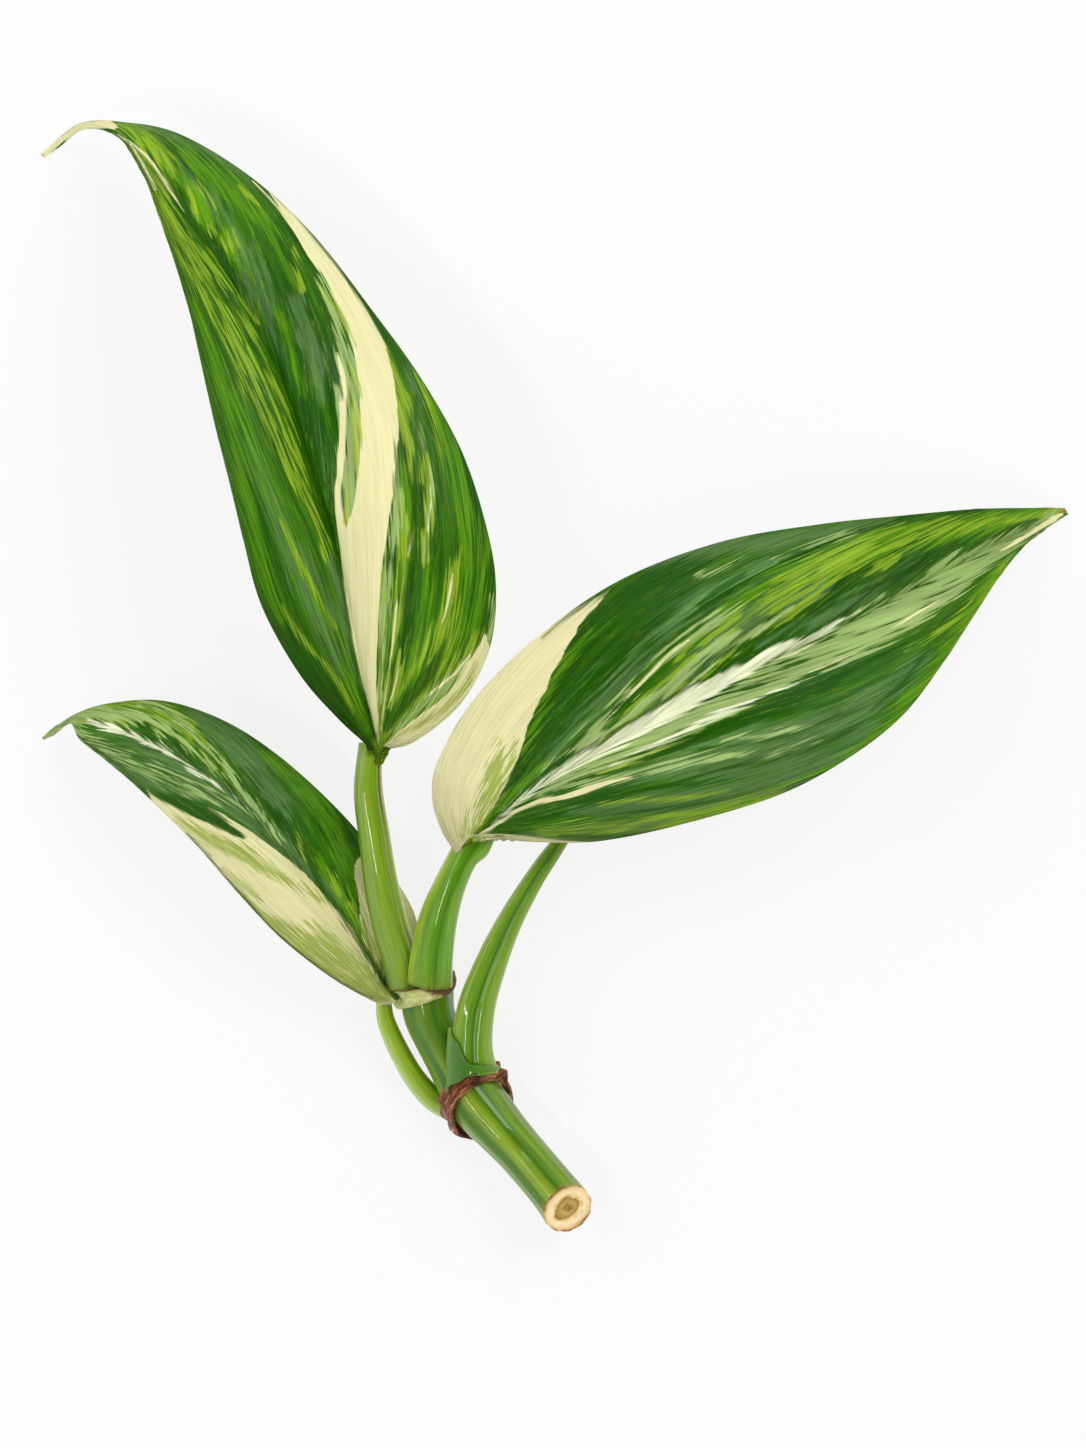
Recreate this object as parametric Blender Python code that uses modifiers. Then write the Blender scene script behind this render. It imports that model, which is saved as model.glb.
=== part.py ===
"""Cutting of a variegated epipremnum, lying on a table.

A short stem with two nodes carries three leaves, each a blade on its own petiole, and the sheath
of a leaf still to come. The cutting rests on the tips of the two large leaves and on the
underside of its lower node. Frame: metres, +Z up, with the origin on the table under the middle
of the cutting; +Y runs along the tall leaf, from the cut end of the stem towards the leaf's tip.
"""

import math

import bmesh
import bpy
from mathutils import Vector

COLLECTION = "epipremnum_cutting"
MM = 0.001
UP = Vector((0, 0, 1))

# Sizes in millimetres that the pieces share.
BLADE_THICKNESS = 0.65
RIB_DEPTH = 2.4
RIB_HALF_WIDTH = 1.7
PLEAT_HEIGHT = 0.22
CLEARANCE = 0.3

# How a blade is shaped between its midrib and its margins: the height of its arch over its half
# width, how much of that arch lies near the midrib, how many pleats it has and how far the veins
# sweep forward, how closely the columns of the mesh crowd to the midrib, and how the rib below
# the midrib starts and tapers.
BLADE_ARCH = 0.10
ARCH_LEAN = 0.8
PLEATS = 7
VEIN_SWEEP = 0.55
VEIN_BEND = 1.3
COLUMN_CROWDING = 0.3
RIB_TAPER = 1.2
RIB_START = 0.1

# Grooves along the stalks: the angle where each runs, its depth as a share and its spread.
NO_GROOVE = (0, 0, 1)
TALL_PETIOLE_GROOVE = (0.6, 0.1, 0.25)
RIGHT_PETIOLE_GROOVE = (2.2, 0.1, 0.3)
SHEATH_GROOVE = (math.pi / 2, 0.4, 0.4)

# Mesh fineness.
SHARP_ANGLE = math.radians(50)
BLADE_COLUMNS = 14
BLADE_ROWS = 34
STALK_SIDES = 16
STEM_SIDES = 24
STEM_STEPS = 26
TANGENT_STEP = 0.01
BAND_STEPS = 36
BAND_SIDES = 10

# Blades: each row is (midrib x, y, z), (left margin x, y, rise), (right margin x, y, rise), from
# the base to the tip, in millimetres. A rise is the margin's height over the midrib.
TALL_BLADE = (
    ((-28.0, -11.8, 20.5), (-29.0, -11.9, 0.3), (-27.0, -12.0, 0.3)),
    ((-28.8, -8.3, 21.5), (-34.0, -7.2, 3.0), (-22.0, -10.4, 2.0)),
    ((-30.2, -2.3, 23.5), (-40.3, 0.1, 5.5), (-14.9, -4.5, 2.5)),
    ((-32.1, 8.0, 26.5), (-46.2, 10.8, 7.0), (-10.3, 4.1, 1.5)),
    ((-34.3, 19.4, 29.0), (-49.0, 21.2, 7.0), (-9.2, 13.6, 0.0)),
    ((-37.7, 29.9, 30.5), (-51.3, 30.8, 6.5), (-10.6, 23.1, -1.0)),
    ((-41.5, 42.1, 31.0), (-53.9, 41.1, 5.5), (-14.6, 35.5, -2.0)),
    ((-46.0, 53.2, 30.0), (-56.3, 51.8, 4.5), (-21.1, 47.2, -3.0)),
    ((-51.1, 62.5, 28.0), (-58.9, 61.8, 3.0), (-28.9, 58.1, -3.5)),
    ((-56.3, 70.5, 25.0), (-61.8, 70.4, 2.0), (-38.4, 70.3, -3.5)),
    ((-61.2, 77.8, 21.0), (-64.6, 78.1, 1.0), (-48.5, 79.7, -3.0)),
    ((-66.4, 84.3, 16.0), (-67.7, 83.8, 0.3), (-59.8, 86.6, -1.5)),
    ((-70.7, 87.5, 11.5), (-70.9, 86.9, 0.0), (-68.9, 88.7, -0.5)),
    ((-76.1, 88.1, 6.0), (-76.1, 87.5, 0.0), (-76.2, 88.7, 0.0)),
    ((-82.3, 83.7, 0.55), (-82.0, 83.4, 0.0), (-82.6, 84.0, 0.0)),
)
RIGHT_BLADE = (
    ((-13.5, -26.5, 20.8), (-15.6, -28.4, -0.6), (-12.4, -25.8, 0.0)),
    ((-12.1, -24.9, 21.5), (-18.0, -24.4, 3.0), (-8.6, -26.0, 0.0)),
    ((-9.6, -22.8, 22.5), (-19.4, -18.9, 6.0), (-2.2, -26.5, 0.0)),
    ((-5.4, -19.9, 24.0), (-18.1, -12.9, 7.5), (7.3, -26.3, 0.5)),
    ((0.9, -15.8, 25.5), (-12.5, -3.7, 7.0), (20.0, -23.7, 1.0)),
    ((11.1, -10.1, 27.0), (-2.9, 5.9, 5.5), (35.8, -18.9, 1.0)),
    ((21.9, -4.0, 27.0), (10.4, 15.1, 4.0), (47.0, -12.9, 0.5)),
    ((32.7, 1.4, 25.5), (26.3, 21.2, 2.5), (55.4, -6.3, 0.0)),
    ((44.7, 7.3, 22.5), (42.3, 24.1, 1.5), (61.7, 1.7, -0.5)),
    ((56.0, 13.2, 18.0), (55.9, 25.6, 1.0), (66.7, 9.1, -0.5)),
    ((65.7, 18.4, 12.5), (67.3, 26.7, 0.5), (71.8, 16.6, 0.0)),
    ((74.8, 23.1, 6.0), (76.1, 27.0, 0.0), (77.0, 22.3, 0.0)),
    ((82.5, 26.6, 0.55), (82.2, 27.1, 0.0), (82.8, 26.1, 0.0)),
)
LOW_BLADE = (
    ((-25.6, -51.9, 12.2), (-26.6, -52.8, -0.2), (-24.9, -51.2, 0.2)),
    ((-28.3, -49.3, 9.0), (-30.7, -51.2, 1.2), (-26.4, -48.6, -3.0)),
    ((-30.8, -44.7, 9.2), (-36.6, -47.6, 2.0), (-22.9, -43.6, -3.6)),
    ((-35.4, -38.2, 11.0), (-43.8, -41.8, 2.5), (-21.9, -39.9, -3.6)),
    ((-40.9, -30.7, 13.0), (-50.1, -35.1, 2.5), (-24.0, -34.8, -4.6)),
    ((-46.2, -24.6, 14.3), (-55.7, -28.6, 2.0), (-29.2, -27.6, -4.0)),
    ((-50.2, -20.6, 15.0), (-58.7, -25.4, 1.5), (-35.1, -20.8, -2.4)),
    ((-55.8, -16.0, 15.0), (-64.2, -20.0, 0.8), (-43.8, -12.9, -0.8)),
    ((-61.4, -12.3, 14.0), (-68.5, -16.1, 0.4), (-52.6, -7.2, 0.0)),
    ((-67.0, -9.6, 12.0), (-72.6, -12.8, 0.0), (-62.2, -4.0, 0.5)),
    ((-72.6, -7.7, 8.5), (-76.1, -10.1, 0.0), (-71.0, -4.3, 0.0)),
    ((-77.4, -6.9, 5.5), (-78.3, -8.0, 0.0), (-76.9, -5.9, 0.0)),
    ((-82.2, -10.1, 1.8), (-81.8, -10.5, 0.0), (-82.5, -9.6, 0.0)),
)

# Stalks: each row is the centre x, y, z, the half width, the half height and the wrap, which is
# how far the two edges bend down round what lies under them, from the base up, in millimetres.
STEM = (
    (5.3, -89.0, 11.4, 4.25, 4.25, 0.0),
    (2.6, -85.8, 10.5, 4.15, 4.15, 0.0),
    (0.0, -82.5, 9.5, 3.9, 3.9, 0.0),
    (-2.8, -79.2, 8.3, 3.85, 3.85, 0.0),
    (-5.7, -75.9, 6.9, 3.9, 3.9, 0.0),
    (-8.7, -72.6, 5.7, 4.2, 4.2, 0.0),
    (-11.6, -69.2, 5.15, 4.6, 4.6, 0.0),
    (-14.2, -65.6, 5.1, 4.4, 4.4, 0.0),
    (-16.4, -61.8, 5.6, 4.0, 4.0, 0.0),
    (-18.4, -58.0, 6.6, 3.95, 3.95, 0.0),
    (-20.0, -54.2, 7.7, 4.1, 4.1, 0.0),
    (-20.5, -50.0, 8.4, 4.35, 4.35, 0.0),
)
TALL_PETIOLE = (
    (-23.0, -49.3, 8.6, 2.5, 1.8, 0.0),
    (-24.6, -45.2, 10.0, 2.95, 2.3, 0.0),
    (-26.2, -39.8, 12.6, 2.9, 2.6, 0.0),
    (-27.7, -32.6, 15.2, 2.7, 2.6, 0.0),
    (-28.7, -25.4, 16.9, 2.5, 2.4, 0.0),
    (-29.6, -18.2, 17.8, 2.3, 2.1, 0.0),
    (-29.3, -10.7, 18.4, 1.8, 1.4, 0.0),
)
RIGHT_PETIOLE = (
    (-19.9, -49.7, 12.4, 3.6, 1.7, 0.9),
    (-19.5, -44.6, 13.9, 3.4, 1.9, 0.6),
    (-18.5, -39.0, 15.3, 3.1, 2.2, 0.3),
    (-16.8, -33.9, 16.4, 2.6, 2.2, 0.0),
    (-14.6, -29.2, 17.4, 2.3, 1.9, 0.0),
    (-11.6, -24.9, 18.3, 2.0, 1.3, 0.0),
)
LOW_PETIOLE = (
    (-18.3, -70.0, 2.3, 1.8, 1.5, 0.0),
    (-19.4, -68.9, 2.6, 1.95, 1.7, 0.0),
    (-20.6, -67.1, 3.2, 1.85, 1.85, 0.0),
    (-22.5, -64.3, 4.0, 1.75, 1.75, 0.0),
    (-24.4, -61.0, 4.9, 1.65, 1.65, 0.0),
    (-25.9, -57.9, 5.9, 1.55, 1.55, 0.0),
    (-27.0, -54.9, 7.0, 1.4, 1.3, 0.0),
    (-27.3, -52.0, 8.1, 1.2, 1.0, 0.0),
)
NEW_LEAF_SHEATH = (
    (-12.7, -63.9, 11.9, 3.8, 1.2, 1.3),
    (-13.1, -59.1, 12.4, 3.3, 1.5, 0.9),
    (-12.3, -52.7, 13.1, 3.0, 1.7, 0.3),
    (-9.8, -45.4, 13.0, 2.5, 1.7, 0.0),
    (-6.9, -39.0, 12.8, 2.0, 1.5, 0.0),
    (-3.2, -32.6, 12.7, 1.6, 1.3, 0.0),
    (0.3, -27.5, 12.6, 1.3, 1.1, 0.0),
    (5.4, -20.6, 12.5, 0.4, 0.4, 0.0),
)
STEM_ROW_STEP = 4.3

# Cut end of the stem: a point on the cut, and the way the cut faces.
CUT_POINT = (1.8, -84.9, 10.8)
CUT_FACING = (0.46, -0.53, 0.71)

# Lower node: the corky ring, slanted up over the top of the stem, and the two root stubs on it.
# Places along the stem are in millimetres from its lower end.
RING_PLACE = 27.0
RING_SLANT = 3.7
RING_HALF_WIDTHS = (0.95, 1.5)
RING_DEPTH = 1.0
ROOT_STUB_ANGLES = (0.35, 3.25)
ROOT_STUB_HEIGHT = 0.75
ROOT_STUB_SPREAD = 0.16

# Upper node: the pale collar, wide on its left side and narrow on its right, with a knob there.
COLLAR_TOP = 47.0
COLLAR_HALF_WIDTHS = (0.55, 1.8)
COLLAR_DEPTH = 0.5
COLLAR_KNOB = 0.5
KNOB_SPREAD = 0.3

# Scale at the foot of the new leaf's sheath: how far up it reaches on its right and on its left,
# as shares of the sheath's length, and the angles that it covers.
SCALE_REACH = (0.04, 0.19)
SCALE_ANGLES = (0.15, 3.3)
SCALE_THICKNESS = 0.6
SCALE_COLUMNS = 14
SCALE_ROWS = 6


def spline(rows, t):
    """Value at t, from 0 to 1, on the smooth curve through the rows (Catmull-Rom)."""
    reach = t * (len(rows) - 1)
    k = min(int(reach), len(rows) - 2)
    f = reach - k
    b, c = Vector(rows[k]), Vector(rows[k + 1])
    a = Vector(rows[k - 1]) if k > 0 else 2 * b - c
    d = Vector(rows[k + 2]) if k + 2 < len(rows) else 2 * c - b
    bend = 2 * a - 5 * b + 4 * c - d
    twist = 3 * b - a - 3 * c + d
    return 0.5 * (2 * b + (c - a) * f + bend * f**2 + twist * f**3)


def bell(x, spread):
    """One at x = 0, falling smoothly to nothing a few spreads away."""
    return math.exp(-((x / spread) ** 2))


def between(ends, share):
    """Value a share of the way from the first end to the second."""
    return ends[0] + (ends[1] - ends[0]) * share


def left_share(angle):
    """Zero on a stalk's right side, growing to one on its left."""
    return (1 - math.cos(angle)) / 2


def turn_between(a, b):
    """Smallest turn from angle b to angle a, in radians."""
    return math.remainder(a - b, 2 * math.pi)


def finished(name, bm, material):
    """Object of the cutting made from a bmesh, shaded smooth except across sharp edges."""
    mesh = bpy.data.meshes.new(name)
    bm.to_mesh(mesh)
    bm.free()
    mesh.materials.append(material)
    mesh.shade_smooth()
    mesh.set_sharp_from_angle(angle=SHARP_ANGLE)
    piece = bpy.data.objects.new(name, mesh)
    bpy.data.collections[COLLECTION].objects.link(piece)
    return piece


def surface(name, rgb, roughness):
    """Plain plant surface of one colour."""
    material = bpy.data.materials.new(name)
    material.use_nodes = True
    shader = material.node_tree.nodes["Principled BSDF"]
    shader.inputs["Base Color"].default_value = (*rgb, 1)
    shader.inputs["Roughness"].default_value = roughness
    shader.inputs["Metallic"].default_value = 0
    material.diffuse_color = (*rgb, 1)
    return material


def blade_point(rows, s, t):
    """Point on a blade's upper face: s is -1 at its left margin, 0 on the midrib, 1 at its right."""
    rib = spline([row[0] for row in rows], t)
    margin = spline([row[1 if s < 0 else 2] for row in rows], t)
    margin.z += rib.z
    half = margin - rib
    out = abs(s)
    arch = BLADE_ARCH * half.length * math.sin(math.pi * out**ARCH_LEAN)
    vein = t - VEIN_SWEEP * out**VEIN_BEND * (1 - t)
    fullness = math.sin(math.pi * out) * math.sin(math.pi * t) ** 0.5
    pleat = PLEAT_HEIGHT * math.sin(2 * math.pi * PLEATS * vein) * fullness
    return rib + out * half + UP * (arch + pleat)


def blade(name, rows, material):
    """Leaf blade: a sheet over its midrib and margins, thickened downwards, with a rib below."""
    bm = bmesh.new()
    bmesh.ops.create_grid(bm, x_segments=BLADE_COLUMNS, y_segments=BLADE_ROWS, size=1)
    weights = bm.verts.layers.deform.verify()
    for vert in bm.verts:
        s = vert.co.x * abs(vert.co.x) ** COLUMN_CROWDING
        t = (vert.co.y + 1) / 2
        rib = spline([row[0] for row in rows], t)
        top = blade_point(rows, s, t)
        vert.co = top * MM
        rib_share = (1 - t) ** RIB_TAPER * min(1.0, t / RIB_START)
        vert[weights][0] = rib_share * max(0.0, 1 - (top - rib).length / RIB_HALF_WIDTH)
    bmesh.ops.triangulate(bm, faces=bm.faces)
    piece = finished(name, bm, material)
    piece.vertex_groups.new(name="rib")
    thick = piece.modifiers.new("Thickness", "SOLIDIFY")
    thick.thickness = RIB_DEPTH * MM
    thick.offset = -1
    thick.vertex_group = "rib"
    thick.thickness_vertex_group = BLADE_THICKNESS / RIB_DEPTH
    return piece


def section_point(rows, angle, t, groove=NO_GROOVE, outward=0.0):
    """Point on a stalk's skin, or outward of it: angle 0 is its right side, a quarter turn its top."""
    here = spline(rows, t)
    ahead = spline(rows, min(t + TANGENT_STEP, 1)) - spline(rows, max(t - TANGENT_STEP, 0))
    along = Vector(ahead[:3]).normalized()
    side = along.cross(UP).normalized()
    over = side.cross(along)
    width, height, wrap = here[3:]
    groove_angle, groove_depth, groove_spread = groove
    dent = 1 - groove_depth * bell(turn_between(angle, groove_angle), groove_spread)
    across = (dent * width + outward) * math.cos(angle)
    rise = (dent * height + outward) * math.sin(angle) - wrap * math.cos(angle) ** 2
    return Vector(here[:3]) + across * side + rise * over


def tube(sides, steps):
    """Open tube as a bmesh, with each vertex's angle round it and its place along it, 0 to 1."""
    bm = bmesh.new()
    bmesh.ops.create_grid(bm, x_segments=sides, y_segments=steps, size=0.5)
    places = {vert: (2 * math.pi * (vert.co.x + 0.5), vert.co.y + 0.5) for vert in bm.verts}
    return bm, places


def close(bm):
    """Weld the tube's seam, fill its open ends and turn its faces outwards."""
    bmesh.ops.remove_doubles(bm, verts=bm.verts, dist=1e-6)
    ends = [edge for edge in bm.edges if edge.is_boundary]
    if ends:
        bmesh.ops.holes_fill(bm, edges=ends, sides=0)
    bmesh.ops.recalc_face_normals(bm, faces=bm.faces)


def stalk(name, rows, material, steps, groove=NO_GROOVE, sides=STALK_SIDES):
    """Petiole, sheath or stem: a loft of its sections, closed at both ends."""
    bm, places = tube(sides, steps)
    for vert, (angle, t) in places.items():
        vert.co = section_point(rows, angle, t, groove) * MM
    close(bm)
    return finished(name, bm, material)


def stem(material):
    """Stem through both nodes, cut off slantwise at its lower end."""
    piece = stalk("stem", STEM, material, STEM_STEPS, sides=STEM_SIDES)
    bm = bmesh.new()
    bm.from_mesh(piece.data)
    whole = bm.verts[:] + bm.edges[:] + bm.faces[:]
    bmesh.ops.bisect_plane(
        bm, geom=whole, plane_co=Vector(CUT_POINT) * MM, plane_no=CUT_FACING, clear_outer=True
    )
    close(bm)
    bm.to_mesh(piece.data)
    bm.free()
    piece.data.set_sharp_from_angle(angle=SHARP_ANGLE)
    return piece


def node_band(name, material, place_at, half_width_at, depth_at):
    """Band round the stem: its place along it, half width and depth are given at each angle."""
    bm, places = tube(BAND_SIDES, BAND_STEPS)
    for vert, (round_band, share) in places.items():
        angle = 2 * math.pi * share
        along = place_at(angle) + half_width_at(angle) * math.sin(round_band)
        outward = CLEARANCE + depth_at(angle) * (1 + math.cos(round_band)) / 2
        t = along / STEM_ROW_STEP / (len(STEM) - 1)
        point = section_point(STEM, angle, t, outward=outward)
        point.z = max(point.z, 0)
        vert.co = point * MM
    close(bm)
    return finished(name, bm, material)


def lower_node_ring(material):
    """Corky leaf scar at the lower node, with the stubs of two dry roots; the cutting rests on it."""

    def depth_at(angle):
        stubs = sum(bell(turn_between(angle, stub), ROOT_STUB_SPREAD) for stub in ROOT_STUB_ANGLES)
        return RING_DEPTH + ROOT_STUB_HEIGHT * stubs

    return node_band(
        "lower_node_ring",
        material,
        lambda angle: RING_PLACE + RING_SLANT * math.sin(angle),
        lambda angle: between(RING_HALF_WIDTHS, left_share(angle)),
        depth_at,
    )


def upper_node_collar(material):
    """Pale collar of the upper node, under the bases of the two large leaves."""

    def half_width_at(angle):
        return between(COLLAR_HALF_WIDTHS, left_share(angle))

    return node_band(
        "upper_node_collar",
        material,
        lambda angle: COLLAR_TOP - half_width_at(angle),
        half_width_at,
        lambda angle: COLLAR_DEPTH + COLLAR_KNOB * bell(turn_between(angle, 0), KNOB_SPREAD),
    )


def bud_scale(material):
    """Thin scale that wraps the foot of the new leaf's sheath and rises to a point on its left."""
    bm = bmesh.new()
    bmesh.ops.create_grid(bm, x_segments=SCALE_COLUMNS, y_segments=SCALE_ROWS, size=0.5)
    for vert in bm.verts:
        across = vert.co.x + 0.5
        up = vert.co.y + 0.5
        angle = between(SCALE_ANGLES, across)
        t = between(SCALE_REACH, across**2) * up
        outward = CLEARANCE + SCALE_THICKNESS
        vert.co = section_point(NEW_LEAF_SHEATH, angle, t, outward=outward) * MM
    bmesh.ops.triangulate(bm, faces=bm.faces)
    bmesh.ops.reverse_faces(bm, faces=bm.faces)
    piece = finished("bud_scale", bm, material)
    thick = piece.modifiers.new("Thickness", "SOLIDIFY")
    thick.thickness = SCALE_THICKNESS * MM
    thick.offset = -1
    return piece


def build():
    """Clear the scene and make every piece of the cutting."""
    for old in list(bpy.data.objects):
        bpy.data.objects.remove(old, do_unlink=True)
    bpy.context.scene.collection.children.link(bpy.data.collections.new(COLLECTION))

    leaf_green = surface("leaf_green", (0.045, 0.16, 0.025), 0.35)
    petiole_green = surface("petiole_green", (0.22, 0.40, 0.05), 0.4)
    stem_green = surface("stem_green", (0.10, 0.28, 0.02), 0.35)
    cork_brown = surface("cork_brown", (0.16, 0.06, 0.025), 0.7)
    collar_green = surface("collar_green", (0.36, 0.46, 0.17), 0.55)

    stem(stem_green)
    bud_scale(stem_green)
    lower_node_ring(cork_brown)
    upper_node_collar(collar_green)
    blade("tall_leaf_blade", TALL_BLADE, leaf_green)
    blade("right_leaf_blade", RIGHT_BLADE, leaf_green)
    blade("low_leaf_blade", LOW_BLADE, leaf_green)
    stalk("tall_leaf_petiole", TALL_PETIOLE, petiole_green, 18, TALL_PETIOLE_GROOVE)
    stalk("right_leaf_petiole", RIGHT_PETIOLE, petiole_green, 14, RIGHT_PETIOLE_GROOVE)
    stalk("low_leaf_petiole", LOW_PETIOLE, petiole_green, 14)
    stalk("new_leaf_sheath", NEW_LEAF_SHEATH, petiole_green, 20, SHEATH_GROOVE)


build()
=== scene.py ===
"""Looks of a variegated epipremnum cutting that lies on a pale table, seen from straight above.

Every piece replaces the plain solid of the same name. Blades, stalks and the bands at the nodes are
drawn from rows in millimetres, as the solids are, with finer meshes, relief and markings.
"""

import functools
import math

import bmesh
import bpy
import numpy as np
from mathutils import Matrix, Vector, noise


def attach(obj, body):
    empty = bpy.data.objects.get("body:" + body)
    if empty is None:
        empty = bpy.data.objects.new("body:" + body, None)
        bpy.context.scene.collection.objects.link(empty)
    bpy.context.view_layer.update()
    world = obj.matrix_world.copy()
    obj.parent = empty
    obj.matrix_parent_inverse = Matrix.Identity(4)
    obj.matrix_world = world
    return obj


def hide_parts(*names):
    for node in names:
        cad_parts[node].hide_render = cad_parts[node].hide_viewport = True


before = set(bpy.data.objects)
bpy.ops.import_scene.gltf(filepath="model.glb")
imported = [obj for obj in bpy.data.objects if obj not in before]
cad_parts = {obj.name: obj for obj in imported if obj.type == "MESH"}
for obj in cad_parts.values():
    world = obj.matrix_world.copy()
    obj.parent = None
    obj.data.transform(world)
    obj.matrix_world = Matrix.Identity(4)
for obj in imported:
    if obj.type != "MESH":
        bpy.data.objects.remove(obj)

bl_info = {
    "name": "Epipremnum Cutting",
    "version": (1, 0, 0),
    "blender": (4, 5, 0),
    "location": "View3D > Sidebar > Cutting",
    "description": "Leaves, petioles and stem of a variegated epipremnum cutting",
    "category": "Object",
}

MM = 0.001
UP = np.array((0.0, 0.0, 1.0))
BODY = "root"

MATH, MIX = "ShaderNodeMath", "ShaderNodeMix"
SPAN, NOISE = "ShaderNodeMapRange", "ShaderNodeTexNoise"

# How a blade is shaped between its midrib and its margins, as in the solids: the rib below it, the
# arch of each half, as a share of its width, and the soft pleats along its main veins.
RIB_DEPTH = 2.4
RIB_HALF_WIDTH = 1.7
RIB_START = 0.1
RIB_TAPER = 1.2
BLADE_ARCH = 0.10
ARCH_LEAN = 0.8
PLEATS = 7
PLEAT_HEIGHT = 0.22
PLEAT_FADE = 0.5
VEIN_SWEEP = 0.55
VEIN_BEND = 1.3
COLUMN_CROWDING = 0.3

# The fine veins leave the midrib and close in on the margin: how far along the blade a vein from
# the base reaches the margin, and how it bends. Vein numbers of the right half start further on, so
# that the pattern differs from the left half's.
VEIN_REACH = 0.75
VEIN_CURVE = 0.65
OTHER_SIDE = 17.0

# Fine folds between the veins: the share of each, then how many there are across the veins and
# along the blade, and where its noise starts; and how they fade to the margins and to the ends. The
# midrib lies in a crease this wide, and this deep on each leaf, in millimetres.
FOLDS = ((1.0, (7.0, 2.5, 0.3)), (0.5, (17.0, 4.0, 5.1)))
FOLD_FADES = (0.5, 0.4)
CREASE_SPREAD = 0.5
TALL_CREASE, RIGHT_CREASE, LOW_CREASE = 0.25, 0.08, 0.15

# Grain of the leaf: the width and length of its streaks in millimetres, and its detail. Each grain
# starts elsewhere. Veins per millimetre is how fast the vein's number changes across a blade.
LEAF_GRAIN = {
    "broad": (3.8, 80.0, 2.0),
    "coarse": (1.0, 18.0, 4.0),
    "fine": (0.4, 6.0, 3.0),
    "hairs": (0.25, 12.0, 2.0),
}
GRAIN_SHIFT = (3.0, 5.0)
VEINS_PER_MM = 0.075
BLADES_PER_MM = 0.0087

# Sums of the broad and the coarse grain where the green is deepest and lightest; half the width of
# the pale veins in the grain, and their cover; and fibres: grain, its channel, and how far it
# lightens and darkens the green. Cream, from this far inside its edge, takes only a share of both.
LEAF_TONE = (0.8, 1.24)
VEIN_LINE = (0.016, 0.26)
LEAF_FIBRES = (("fine", 0, 0.5), ("coarse", 2, 0.6), ("hairs", 0, 0.9))
CREAM_EDGE = 0.3
CREAM_SHARE = 0.25

# Relief of the leaf in millimetres and what each grain adds to it, and the roughness of its wax
# between two values of the coarse grain.
LEAF_RELIEF = 0.32
RELIEF_SHARES = {"broad": 1.2, "coarse": 0.8, "fine": 0.35, "hairs": 0.15}
LEAF_SPECULAR = 0.11
LEAF_ROUGHNESS = (0.26, 0.38)
ROUGHNESS_GRAIN = (0.3, 0.7)

# Layers of the leaf's variegation, from the lowest to the top one: colour; the depth up to which a
# mark counts, where little lets the veins tear gaps in it; how far it is torn by the coarse grain
# and frayed by the fine one; how soft its edges are, all in millimetres; and its cover.
WHOLE = 9.0
LEAF_LAYERS = {
    "deep": ("deep", 1.0, 1.0, 1.2, 0.9, 0.9),
    # The grey layer is grey-green that is partly the leaf's own colour and partly painted sheen,
    # light reflected off its wax.
    "grey_and_sheen": ("grey_and_sheen", 0.7, 1.3, 2.4, 0.8, 0.75),
    "bright": ("bright", 0.5, 1.3, 2.4, 0.8, 0.7),
    "flecks": ("lime", 0.12, 1.2, 3.6, 0.4, 0.8),
    "lime": ("lime", 0.5, 0.6, 1.4, 0.25, 0.85),
    "sage": ("sage", 0.6, 0.8, 2.2, 0.35, 0.9),
    "cream": ("cream", WHOLE, 0.22, 0.3, 0.10, 1.0),
    "wash": ("wash", 0.5, 0.9, 1.9, 0.35, 0.9),
    "white": ("white", WHOLE, 0.4, 1.0, 0.3, 1.0),
    "dark": ("deep", 1.2, 0.35, 0.8, 0.3, 0.85),
    "dry": ("dry", WHOLE, 0.1, 0.1, 0.15, 0.9),
}

# Skin of the stalks. Its pattern runs on shares of a girth and a length of these millimetres, in
# bands and fibres of this width, length and detail. The bands wander by up to a share of the girth,
# and the fibres, times a factor and plus an offset, give the brightness. A tint is full over this
# share of its half width, and the fibres fray its ends by a share of the length. The bands' share
# of the relief follows, and the ridges are this high and this many.
STALK_GIRTH = 17.0
STALK_LENGTH = 45.0
SKIN_BANDS = (1.9, 15.0, 2.0)
SKIN_FIBRES = (0.32, 9.0, 3.0)
BAND_WANDER = 0.025
FIBRE_VALUE = (0.7, 0.65)
TINT_CORE = 0.4
TINT_FRAY = 0.06
SKIN_RELIEF = 0.1
BAND_RELIEF = 1.5
STALK_ROUGHNESS = 0.27
STALK_SPECULAR = 0.14
STALK_COAT = (0.7, 0.06)
STALK_RIDGES = ((0.04, 9), (0.025, 17))
STEM_RIDGES = ((0.07, 11), (0.03, 23))

# Mesh fineness, the step for directions along a curve, and the weld of a tube's seam in metres.
BLADE_COLUMNS = 205
BLADE_ROWS = 230
STALK_SIDES = 64
STALK_STEPS = 160
BAND_SIDES = 36
BAND_STEPS = 220
TANGENT_STEP = 0.01
WELD = 1e-6

# The marks on the leaves are drawn on a plan of 1086 by 1448 units of 0.16 mm, as the camera sees a
# plane at this height. Far outside every mark, the depth in it is this many millimetres.
UNIT = 0.16
PLAN_MIDDLE = (543, 724)
CAMERA = (-1.76, -7.68, 1930.0)
PLAN_HEIGHT = 12.0
OUTSIDE = -6.0

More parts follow.
